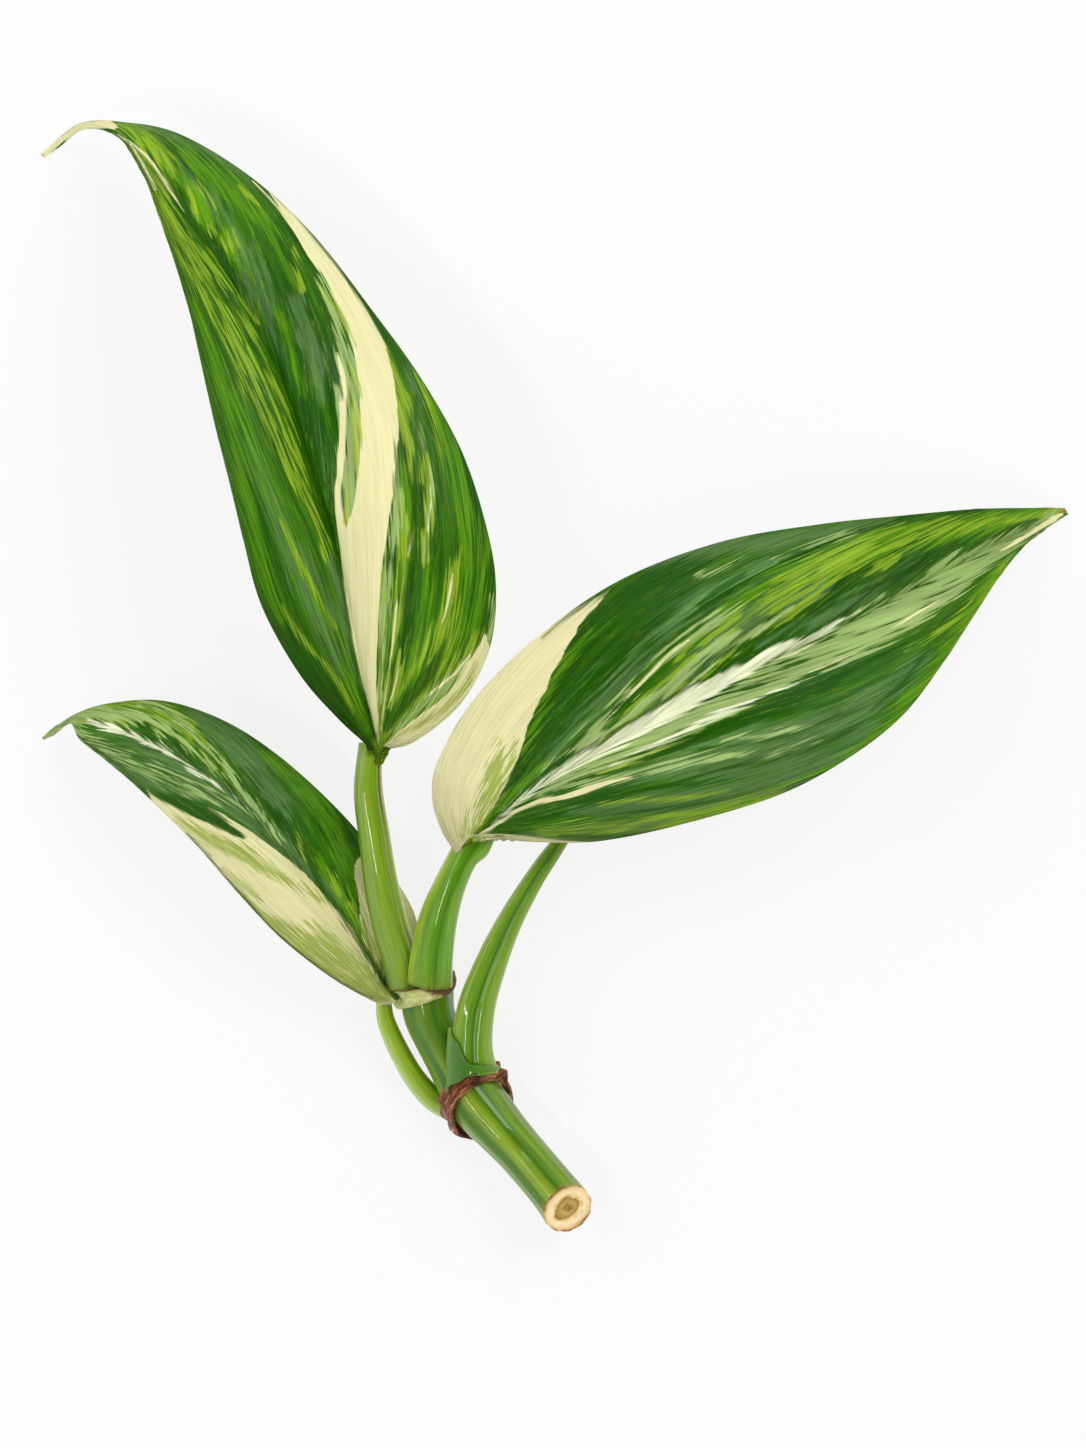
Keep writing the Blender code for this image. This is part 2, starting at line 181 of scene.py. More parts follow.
# Blades: each row is (midrib x, y, z), (left margin x, y, rise), (right margin x, y, rise), from
# the base to the tip, in millimetres. A rise is the margin's height over the midrib.
TALL_BLADE = (
    ((-28.15, -14.2, 19.6), (-28.7, -14.3, 0.1), (-27.6, -14.2, 0.1)),
    ((-28.0, -11.8, 20.5), (-29.0, -11.9, 0.3), (-27.0, -12.0, 0.3)),
    ((-28.8, -8.3, 21.5), (-34.0, -7.2, 3.0), (-22.0, -10.4, 2.0)),
    ((-30.2, -2.3, 23.5), (-40.3, 0.1, 5.5), (-14.9, -4.5, 2.5)),
    ((-32.1, 8.0, 26.5), (-46.2, 10.8, 7.0), (-10.3, 4.1, 1.5)),
    ((-34.3, 19.4, 29.0), (-49.0, 21.2, 7.0), (-9.2, 13.6, 0.0)),
    ((-37.7, 29.9, 30.5), (-51.3, 30.8, 6.5), (-10.6, 23.1, -1.0)),
    ((-41.5, 42.1, 31.0), (-53.9, 41.1, 5.5), (-14.6, 35.5, -2.0)),
    ((-46.0, 53.2, 30.0), (-56.3, 51.8, 4.5), (-21.1, 47.2, -3.0)),
    ((-51.1, 62.5, 28.0), (-58.9, 61.8, 3.0), (-28.9, 58.1, -3.5)),
    ((-56.3, 70.5, 25.0), (-61.8, 70.4, 2.0), (-38.4, 70.3, -3.5)),
    ((-61.2, 77.8, 21.0), (-64.6, 78.1, 1.0), (-48.5, 79.7, -3.0)),
    ((-66.4, 84.3, 16.0), (-67.7, 83.8, 0.3), (-59.8, 86.6, -1.5)),
    ((-70.7, 87.5, 11.5), (-70.9, 86.9, 0.0), (-68.9, 88.7, -0.5)),
    ((-76.1, 88.1, 6.0), (-76.1, 87.5, 0.0), (-76.2, 88.7, 0.0)),
    ((-82.3, 83.7, 0.55), (-82.0, 83.4, 0.0), (-82.6, 84.0, 0.0)),
)
RIGHT_BLADE = (
    ((-13.5, -26.5, 20.8), (-15.6, -28.4, -0.6), (-12.4, -25.8, 0.0)),
    ((-12.1, -24.9, 21.5), (-18.0, -24.4, 3.0), (-8.6, -26.0, 0.0)),
    ((-9.6, -22.8, 22.5), (-19.4, -18.9, 6.0), (-2.2, -26.5, 0.0)),
    ((-5.4, -19.9, 24.0), (-18.1, -12.9, 7.5), (7.3, -26.3, 0.5)),
    ((0.9, -15.8, 25.5), (-12.5, -3.7, 7.0), (20.0, -23.7, 1.0)),
    ((11.1, -10.1, 27.0), (-2.9, 5.9, 5.5), (35.8, -18.9, 1.0)),
    ((21.9, -4.0, 27.0), (10.4, 15.1, 4.0), (47.0, -12.9, 0.5)),
    ((32.7, 1.4, 25.5), (26.3, 21.2, 2.5), (55.4, -6.3, 0.0)),
    ((44.7, 7.3, 22.5), (42.3, 24.1, 1.5), (61.7, 1.7, -0.5)),
    ((56.0, 13.2, 18.0), (55.9, 25.6, 1.0), (66.7, 9.1, -0.5)),
    ((65.7, 18.4, 12.5), (67.3, 26.7, 0.5), (71.8, 16.6, 0.0)),
    ((74.8, 23.1, 6.0), (76.1, 27.0, 0.0), (77.0, 22.3, 0.0)),
    ((82.5, 26.6, 0.55), (82.2, 27.1, 0.0), (82.8, 26.1, 0.0)),
)
LOW_BLADE = (
    ((-25.6, -51.9, 12.2), (-26.6, -52.8, -0.2), (-24.9, -51.2, 0.2)),
    ((-28.3, -49.3, 9.0), (-30.7, -51.2, 1.2), (-26.4, -48.6, -3.0)),
    ((-30.8, -44.7, 9.2), (-36.6, -47.6, 2.0), (-22.9, -43.6, -3.6)),
    ((-35.4, -38.2, 11.0), (-43.8, -41.8, 2.5), (-21.9, -39.9, -3.6)),
    ((-40.9, -30.7, 13.0), (-50.1, -35.1, 2.5), (-24.0, -34.8, -4.6)),
    ((-46.2, -24.6, 14.3), (-55.7, -28.6, 2.0), (-29.2, -27.6, -4.0)),
    ((-50.2, -20.6, 15.0), (-58.7, -25.4, 1.5), (-35.1, -20.8, -2.4)),
    ((-55.8, -16.0, 15.0), (-64.2, -20.0, 0.8), (-43.8, -12.9, -0.8)),
    ((-61.4, -12.3, 14.0), (-68.5, -16.1, 0.4), (-52.6, -7.2, 0.0)),
    ((-67.0, -9.6, 12.0), (-72.6, -12.8, 0.0), (-62.2, -4.0, 0.5)),
    ((-72.6, -7.7, 8.5), (-76.1, -10.1, 0.0), (-71.0, -4.3, 0.0)),
    ((-77.4, -6.9, 5.5), (-77.9, -7.5, 0.0), (-77.1, -6.2, 0.0)),
    ((-82.2, -10.1, 1.8), (-82.0, -10.3, 0.0), (-82.4, -9.9, 0.0)),
)

# Stalks: each row is the centre x, y, z, the half width, the half height and the wrap, which is
# how far the two edges bend down round what lies under them, from the base up, in millimetres.
STEM = (
    (5.3, -89.0, 11.4, 4.25, 4.25, 0.0),
    (2.6, -85.8, 10.5, 4.15, 4.15, 0.0),
    (0.0, -82.5, 9.5, 3.9, 3.9, 0.0),
    (-2.8, -79.2, 8.3, 3.85, 3.85, 0.0),
    (-5.7, -75.9, 6.9, 3.9, 3.9, 0.0),
    (-8.7, -72.6, 5.7, 4.2, 4.2, 0.0),
    (-11.6, -69.2, 5.15, 4.6, 4.6, 0.0),
    (-14.2, -65.6, 5.1, 4.4, 4.4, 0.0),
    (-16.4, -61.8, 5.6, 4.0, 4.0, 0.0),
    (-18.4, -58.0, 6.6, 3.95, 3.95, 0.0),
    (-20.0, -54.2, 7.7, 4.1, 4.1, 0.0),
    (-20.5, -50.0, 8.4, 4.35, 4.35, 0.0),
)
TALL_PETIOLE = (
    (-23.4, -50.3, 8.5, 2.9, 1.9, 0.0),
    (-24.6, -45.2, 10.0, 2.95, 2.3, 0.0),
    (-26.2, -39.8, 12.6, 2.9, 2.6, 0.0),
    (-27.7, -32.6, 15.2, 2.7, 2.6, 0.0),
    (-28.7, -25.4, 16.9, 2.5, 2.4, 0.0),
    (-29.6, -18.2, 17.8, 2.3, 2.1, 0.0),
    (-29.3, -10.7, 18.4, 1.8, 1.4, 0.0),
)
RIGHT_PETIOLE = (
    (-19.9, -49.7, 12.3, 3.65, 1.7, 1.0),
    (-19.5, -44.6, 13.9, 3.4, 1.9, 0.6),
    (-18.5, -39.0, 15.3, 3.1, 2.2, 0.3),
    (-16.8, -33.9, 16.4, 2.6, 2.2, 0.0),
    (-14.6, -29.2, 17.4, 2.4, 1.9, 0.0),
    (-12.9, -26.8, 18.0, 2.9, 1.5, 0.0),
    (-11.0, -24.4, 18.4, 2.2, 0.9, 0.0),
)
LOW_PETIOLE = (
    (-16.7, -69.3, 2.9, 2.0, 1.6, 0.0),
    (-18.5, -68.4, 2.8, 2.05, 1.8, 0.0),
    (-20.4, -66.9, 3.2, 1.9, 1.85, 0.0),
    (-22.5, -64.3, 4.0, 1.75, 1.75, 0.0),
    (-24.4, -61.0, 4.9, 1.65, 1.65, 0.0),
    (-25.9, -57.9, 5.9, 1.55, 1.55, 0.0),
    (-27.0, -54.9, 7.0, 1.4, 1.3, 0.0),
    (-27.3, -52.0, 8.1, 1.2, 1.0, 0.0),
)
NEW_LEAF_SHEATH = (
    (-12.7, -63.9, 11.9, 3.8, 1.2, 1.3),
    (-13.1, -59.1, 12.4, 3.3, 1.5, 0.9),
    (-12.3, -52.7, 13.1, 3.0, 1.7, 0.3),
    (-9.8, -45.4, 13.0, 2.5, 1.7, 0.0),
    (-6.9, -39.0, 12.8, 2.0, 1.5, 0.0),
    (-3.2, -32.6, 12.7, 1.6, 1.3, 0.0),
    (0.3, -27.5, 12.6, 1.3, 1.1, 0.0),
    (5.4, -20.6, 12.5, 0.4, 0.4, 0.0),
)
STEM_ROW_STEP = 4.3

# Grooves along the stalks: the angle where each runs, its depth as a share and its spread.
NO_GROOVE = (0, 0, 1)
TALL_PETIOLE_GROOVE = (0.6, 0.1, 0.25)
RIGHT_PETIOLE_GROOVE = (2.2, 0.1, 0.3)
SHEATH_GROOVE = (math.pi / 2, 0.4, 0.4)

# The cut face: a point on it and the way it faces, its rings as shares of its radius, how far it is
# dished, the groove round its pith, and the least angle that stays sharp on the stem, in degrees.
CUT_POINT = (1.8, -84.9, 10.8)
CUT_FACING = (0.46, -0.53, 0.71)
CUT_RINGS = (0.97, 0.93, 0.86, 0.78, 0.68, 0.58, 0.5, 0.42, 0.34, 0.22, 0.1)
CUT_DISH = 0.25
PITH_GROOVE = 0.14
PITH_EDGE = 0.45
PITH_SPREAD = 0.08
SHARP_ANGLE = 50

# Bands round the stem: their gap to it, the shape of their section, where its groove lies and how
# wide it is, and how far their lumps sway them. Lumps are noise on a circle of this radius: the
# share of each, its scale, how it turns over the section, and where it starts.
CLEARANCE = 0.1
BAND_BULGE = 0.7
BAND_GROOVE = (0.1, 0.4)
BAND_SWAY = 0.5
LUMP_RADIUS = 5.0
LUMPS = ((1.0, 1.0, 1.6, 3.0), (0.6, 2.3, 3.4, 9.0))

# Lower node's corky ring, in millimetres along the stem: its middle, how far its top lies ahead of
# its sides, its half widths at the right and the left, its depth, its lumps and its groove. Each
# root stub has an angle and a height, and widens the ring and pushes it on by shares of that.
RING_PLACE = 27.0
RING_SLANT = 3.9
RING_HALF_WIDTHS = (1.3, 2.0)
RING_DEPTH = 1.15
RING_LUMPS = 0.3
RING_GROOVE = 0.38
ROOT_STUBS = ((0.34, 1.75), (3.3, 0.7))
ROOT_STUB_WIDTH = 0.25
ROOT_STUB_RISE = 0.6
ROOT_STUB_SPREAD = 0.17

# Upper node's collar: its upper edge, its half widths at the right and the left, how far back it
# lies under the stem, its depth, how much deeper it is at the left, its lumps, and its knob at the
# right: how much deeper, wider and further on the collar is there.
COLLAR_TOP = 48.6
COLLAR_HALF_WIDTHS = (0.9, 2.0)
COLLAR_SETBACK = 1.2
COLLAR_DEPTH = 0.42
COLLAR_FLARE = 0.8
COLLAR_LUMPS = 0.12
KNOB = (0.1, -0.15, 0.3)
KNOB_SPREAD = 0.32

# Scale at the foot of the new leaf's sheath: shares across it, its foot and its upper edge there as
# shares along the sheath, and the angles from its right side to its left one.
SCALE_STEPS = (0.0, 0.25, 0.44, 0.5, 0.56, 0.62, 0.8, 1.0)
SCALE_TOP = (0.028, 0.042, 0.06, 0.08, 0.12, 0.155, 0.178, 0.2)
SCALE_FOOT = (0.012, 0.024, 0.015, 0.006, -0.012, -0.028, -0.055, -0.09)
SCALE_ANGLES = (0.42, 3.3)
SCALE_THICKNESS = 0.6
SCALE_GAP = 0.12
SCALE_CURL = 0.12
SCALE_COLUMNS = 80
SCALE_ROWS = 40

# Marks on the leaves by layer, on the plan. A row of three numbers is a point of a stroke and the
# stroke's half width there; rows of two numbers are the corners of a patch.
TALL_MARKS = {
    "deep": (
        ((300, 385, 8), (312, 425, 15), (322, 465, 13), (328, 500, 8), (332, 530, 6)),
        ((276, 228, 6), (290, 262, 7), (303, 295, 6), (325, 330, 5), (333, 365, 5), (333, 400, 6)),
        ((236, 560, 6), (262, 610, 10), (290, 650, 12), (320, 690, 12), (350, 728, 8)),
    ),
    # Grey-green, partly the leaf's own colour and partly painted sheen.
    "grey_and_sheen": (
        ((330, 560, 3), (344, 600, 7), (352, 640, 8), (362, 680, 6)),
        ((250, 440, 3), (270, 500, 6), (292, 560, 7), (318, 620, 6), (340, 670, 3)),
        ((120, 124, 2), (165, 134, 3), (215, 155, 3), (255, 183, 1)),
        ((160, 152, 2), (195, 188, 4), (220, 222, 5), (242, 256, 7), (258, 290, 8), (272, 325, 6),
         (282, 350, 3)),
        ((205, 190, 2), (228, 222, 3), (248, 250, 4), (262, 275, 3)),
        ((296, 300, 4), (306, 330, 9), (314, 350, 10), (318, 375, 6), (322, 400, 3)),
        ((408, 370, 3), (414, 390, 5), (418, 415, 5), (421, 445, 3)),
        ((300, 545, 3), (322, 590, 6), (338, 625, 4)),
    ),
    "bright": (
        ((120, 126, 4), (150, 143, 8), (185, 182, 6), (208, 215, 6), (228, 245, 6), (242, 268, 4),
         (252, 292, 2)),
        ((185, 152, 5), (215, 175, 7), (245, 203, 8), (268, 230, 6), (285, 258, 4), (296, 285, 3),
         (300, 300, 1)),
        ((278, 305, 2), (281, 322, 4), (288, 345, 3), (294, 372, 3), (300, 395, 1)),
        ((192, 300, 2), (206, 340, 3), (220, 385, 3.5), (232, 430, 4), (244, 480, 5), (256, 530, 4),
         (268, 580, 3), (282, 620, 2)),
        ((232, 392, 3), (250, 440, 5), (264, 480, 4), (280, 520, 3), (296, 560, 3), (318, 600, 3),
         (340, 640, 2), (355, 680, 1)),
        ((345, 660, 2), (356, 700, 5), (368, 730, 4)),
        ((404, 450, 3), (407, 490, 6), (406, 520, 7), (403, 560, 6), (400, 590, 4)),
        ((432, 400, 2), (446, 440, 4), (456, 480, 5), (464, 520, 6), (466, 560, 7), (462, 600, 8),
         (454, 640, 9), (440, 660, 6)),
        ((470, 500, 3), (480, 550, 5), (482, 590, 5), (476, 630, 4)),
        ((430, 560, 4), (428, 600, 7), (420, 640, 7), (410, 665, 5), (396, 700, 3)),
    ),
    "flecks": (
        ((400, 500, 1), (404, 540, 4), (402, 580, 5), (398, 620, 5), (394, 660, 5), (388, 700, 4)),
        ((452, 560, 2), (452, 600, 6), (444, 640, 7), (430, 672, 6), (414, 700, 4)),
        ((404, 400, 3), (412, 440, 6), (418, 480, 3)),
        ((120, 127, 3), (150, 143, 6), (185, 182, 5), (208, 215, 5), (228, 245, 4)),
        ((126, 136, 1.5), (144, 163, 3), (160, 195, 5), (172, 222, 7), (186, 247, 8), (200, 275, 9),
         (216, 302, 8), (232, 332, 10), (246, 358, 12), (259, 385, 12), (273, 415, 11),
         (286, 445, 10), (298, 475, 8), (309, 502, 5), (319, 526, 3), (330, 553, 1)),
        ((206, 255, 2), (218, 278, 3), (230, 300, 3), (241, 318, 4), (250, 338, 3), (258, 360, 1)),
        ((482, 632), (462, 652), (446, 656), (436, 668), (424, 690), (405, 710), (392, 726),
         (381, 745), (398, 735), (425, 715), (448, 694), (466, 668)),
        ((180, 236, 2), (190, 254, 4), (199, 272, 5), (211, 295, 5), (224, 318, 6), (236, 338, 6),
         (246, 360, 5), (258, 385, 5), (272, 415, 4), (286, 447, 3), (300, 480, 2)),
        ((262, 395, 3), (274, 420, 5), (288, 452, 5), (301, 484, 4), (314, 512, 3), (322, 535, 1)),
    ),
    "lime": (
        ((377, 742, 3), (378, 752, 4), (378, 765, 4), (378, 772, 3)),
        ((238, 298, 0.8), (248, 311, 1.2), (258, 323, 0.8)),
        ((241, 188, 0.7), (250, 197, 1.3), (258, 206, 0.7)),
        ((292, 250, 0.8), (299, 270, 1.4), (302, 290, 0.8)),
        ((382, 342, 1), (389, 360, 3), (395, 380, 4.5), (400, 400, 6), (404, 420, 5.5),
         (408, 440, 5), (411, 456, 2.5), (411, 468, 1)),
        ((414, 372, 0.7), (424, 395, 1.5), (434, 425, 1.6), (441, 452, 1.5), (444, 470, 0.8)),
        ((281, 520, 0.8), (292, 547, 1.6), (306, 574, 1.8), (322, 602, 1.4), (336, 628, 0.8)),
        ((282, 606, 0.6), (300, 636, 1.2), (322, 661, 1.1), (342, 686, 0.9), (354, 712, 0.5)),
        ((415, 526, 1), (411, 543, 3), (410, 562, 1)),
        ((404, 588, 1), (400, 612, 3.2), (396, 636, 3), (391, 660, 2.2), (386, 690, 1.5),
         (382, 715, 1)),
        ((462, 545, 0.8), (456, 572, 3), (452, 595, 4), (447, 612, 3), (441, 632, 2.4),
         (434, 652, 1)),
        ((428, 632, 0.8), (421, 655, 2), (412, 672, 2), (404, 688, 1)),
        ((398, 648, 1), (400, 668, 3), (396, 690, 2.2), (389, 708, 1.4)),
        ((381, 560, 2), (385, 600, 4), (383, 640, 4), (382, 680, 3), (381, 715, 3), (380, 740, 2)),
        ((426, 455, 1), (430, 478, 3.4), (430, 500, 4), (428, 525, 3.6), (425, 548, 3),
         (425, 565, 0.8)),
    ),
    "sage": (
        # This first sage stroke, along the right margin, is pale green with painted sheen.
        ((491, 596, 0.5), (493, 615, 1.6), (490, 635, 1.6), (484, 652, 1)),
        ((476, 650, 1.5), (463, 668, 3.5), (448, 684, 4.5), (430, 700, 4.5), (410, 716, 3.5),
         (394, 732, 1.5)),
        ((349, 346, 1), (352, 370, 4), (353, 400, 7), (353, 450, 8), (350, 490, 8), (346, 522, 5),
         (344, 542, 3)),
        ((321, 278, 1), (329, 298, 2.5), (337, 322, 4), (342, 345, 5), (345, 372, 6),
         (346, 400, 6.5), (346, 440, 7), (345, 470, 7), (342, 500, 5), (342, 520, 3)),
        ((394, 440, 1), (396, 470, 2.5), (397, 500, 4), (396, 530, 4.5), (391, 556, 4),
         (386, 585, 3), (383, 620, 2), (381, 660, 1.5), (380, 700, 1)),
        ((429, 470, 0.5), (431, 490, 1.4), (430, 510, 1.6), (428, 530, 1.2), (426, 548, 1.6),
         (426, 560, 0.6)),
    ),
    "cream": (
        ((268, 191), (279, 199), (290, 208), (300, 219), (312, 234), (325, 249), (336, 263),
         (347, 280), (359, 297), (371, 316), (379, 333), (385, 346), (390, 362), (394, 382),
         (397, 402), (399, 430), (396, 460), (394, 490), (389, 520), (385, 548), (381, 575),
         (379, 610), (377, 650), (377, 690), (378, 720), (378, 744), (374, 727), (367, 700),
         (360, 675), (352, 635), (347, 605), (343, 577), (340, 547), (337, 522), (346, 528),
         (353, 510), (357, 480), (360, 450), (361, 420), (360, 398), (358, 378), (354, 352),
         (346, 325), (339, 309), (333, 296), (326, 281), (317, 268), (308, 257), (299, 241),
         (290, 226), (279, 208)),
        ((337, 352, 1), (342, 372, 3), (343, 400, 4), (342, 440, 3.4), (340, 470, 3.4),
         (338, 500, 3), (341, 522, 4), (346, 540, 3)),
        ((252, 180, 0.5), (265, 193, 0.9), (279, 210, 1), (292, 229, 0.7)),
        ((430, 473, 0.4), (431, 490, 1.1), (430, 512, 1.0), (428, 532, 0.4)),
        ((413, 531, 0.4), (411, 545, 1.1), (408, 557, 0.4)),
        ((453, 573, 0.4), (450, 592, 1.2), (446, 612, 0.9), (442, 624, 0.4)),
        ((400, 590, 0.4), (396, 612, 1.1), (393, 640, 1.2), (389, 670, 1.0), (384, 705, 0.7),
         (381, 730, 0.4)),
        ((402, 645, 0.4), (400, 665, 1.0), (394, 690, 0.9), (388, 708, 0.4)),
        ((470, 655, 0.4), (456, 672, 1.1), (440, 686, 1.1), (424, 698, 0.5)),
        ((118, 134, 0.6), (134, 145, 1.0), (148, 158, 1.3), (160, 175, 1.3), (172, 193, 1.0),
         (184, 212, 0.6)),
        ((130, 143, 0.7), (142, 163, 1.1), (156, 190, 0.7)),
        ((485, 632), (480, 645), (473, 655), (466, 664), (459, 678), (447, 694), (436, 704),
         (421, 714), (408, 724), (396, 734), (384, 746), (400, 752), (440, 735), (470, 705),
         (495, 668)),
        ((116, 127, 2), (106, 124, 5), (92, 124, 6), (78, 128, 6), (66, 133, 6), (54, 141, 6),
         (45, 150, 6), (40, 158, 6)),
    ),
    "wash": (
        ((352, 372, 1), (354, 395, 3), (355, 425, 3.4), (355, 455, 3), (352, 480, 3.4),
         (348, 502, 3.4), (346, 522, 1.5)),
        ((324, 281, 0.8), (333, 299, 2), (341, 318, 2.4), (349, 340, 2), (353, 348, 1)),
        ((474, 662, 1), (468, 682, 2.6), (454, 700, 3), (434, 716, 3), (412, 729, 2.4),
         (394, 738, 1.5)),
    ),
    "dark": (
        ((340, 376, 2), (341, 400, 1.5), (340, 400, 1), (339, 385, 0.8)),
        ((262, 186, 0.5), (280, 200, 0.9), (300, 221, 1.2), (320, 244, 1.5), (342, 272, 2.0),
         (363, 301, 2.2), (382, 328, 3.2), (394, 345, 3.5), (404, 362, 2)),
        ((331, 515, 1.5), (335, 540, 2.4), (340, 575, 2.2), (344, 600, 1.8), (350, 640, 1.8),
         (358, 680, 2.0), (366, 710, 2.6), (373, 735, 2.5)),
        ((350, 372, 0.4), (350.5, 400, 0.8), (351, 425, 0.4)),
        ((394, 432, 0.3), (395, 460, 0.8), (394, 485, 0.5), (391, 512, 0.3)),
        ((416, 395, 1), (416, 440, 2), (416, 480, 2.6), (415, 520, 3), (412, 560, 3.2),
         (406, 600, 3.4), (399, 640, 2.4), (393, 672, 2), (387, 705, 1.5)),
        ((437, 462, 1), (438, 500, 2.6), (436, 540, 2.6), (430, 580, 1.6)),
        ((446, 640, 1), (436, 662, 4), (424, 680, 6), (409, 698, 5), (396, 716, 3.4),
         (388, 730, 1.6)),
        ((472, 470, 0.8), (476, 530, 1.4), (474, 580, 1.6), (468, 620, 0.8)),
        ((389, 600, 0.5), (387, 630, 1.3), (384, 660, 1.2), (382, 690, 0.8)),
    ),
    "dry": (
        ((43, 154, 0.5), (40, 158, 1.5), (37, 162, 3)),
    ),
}
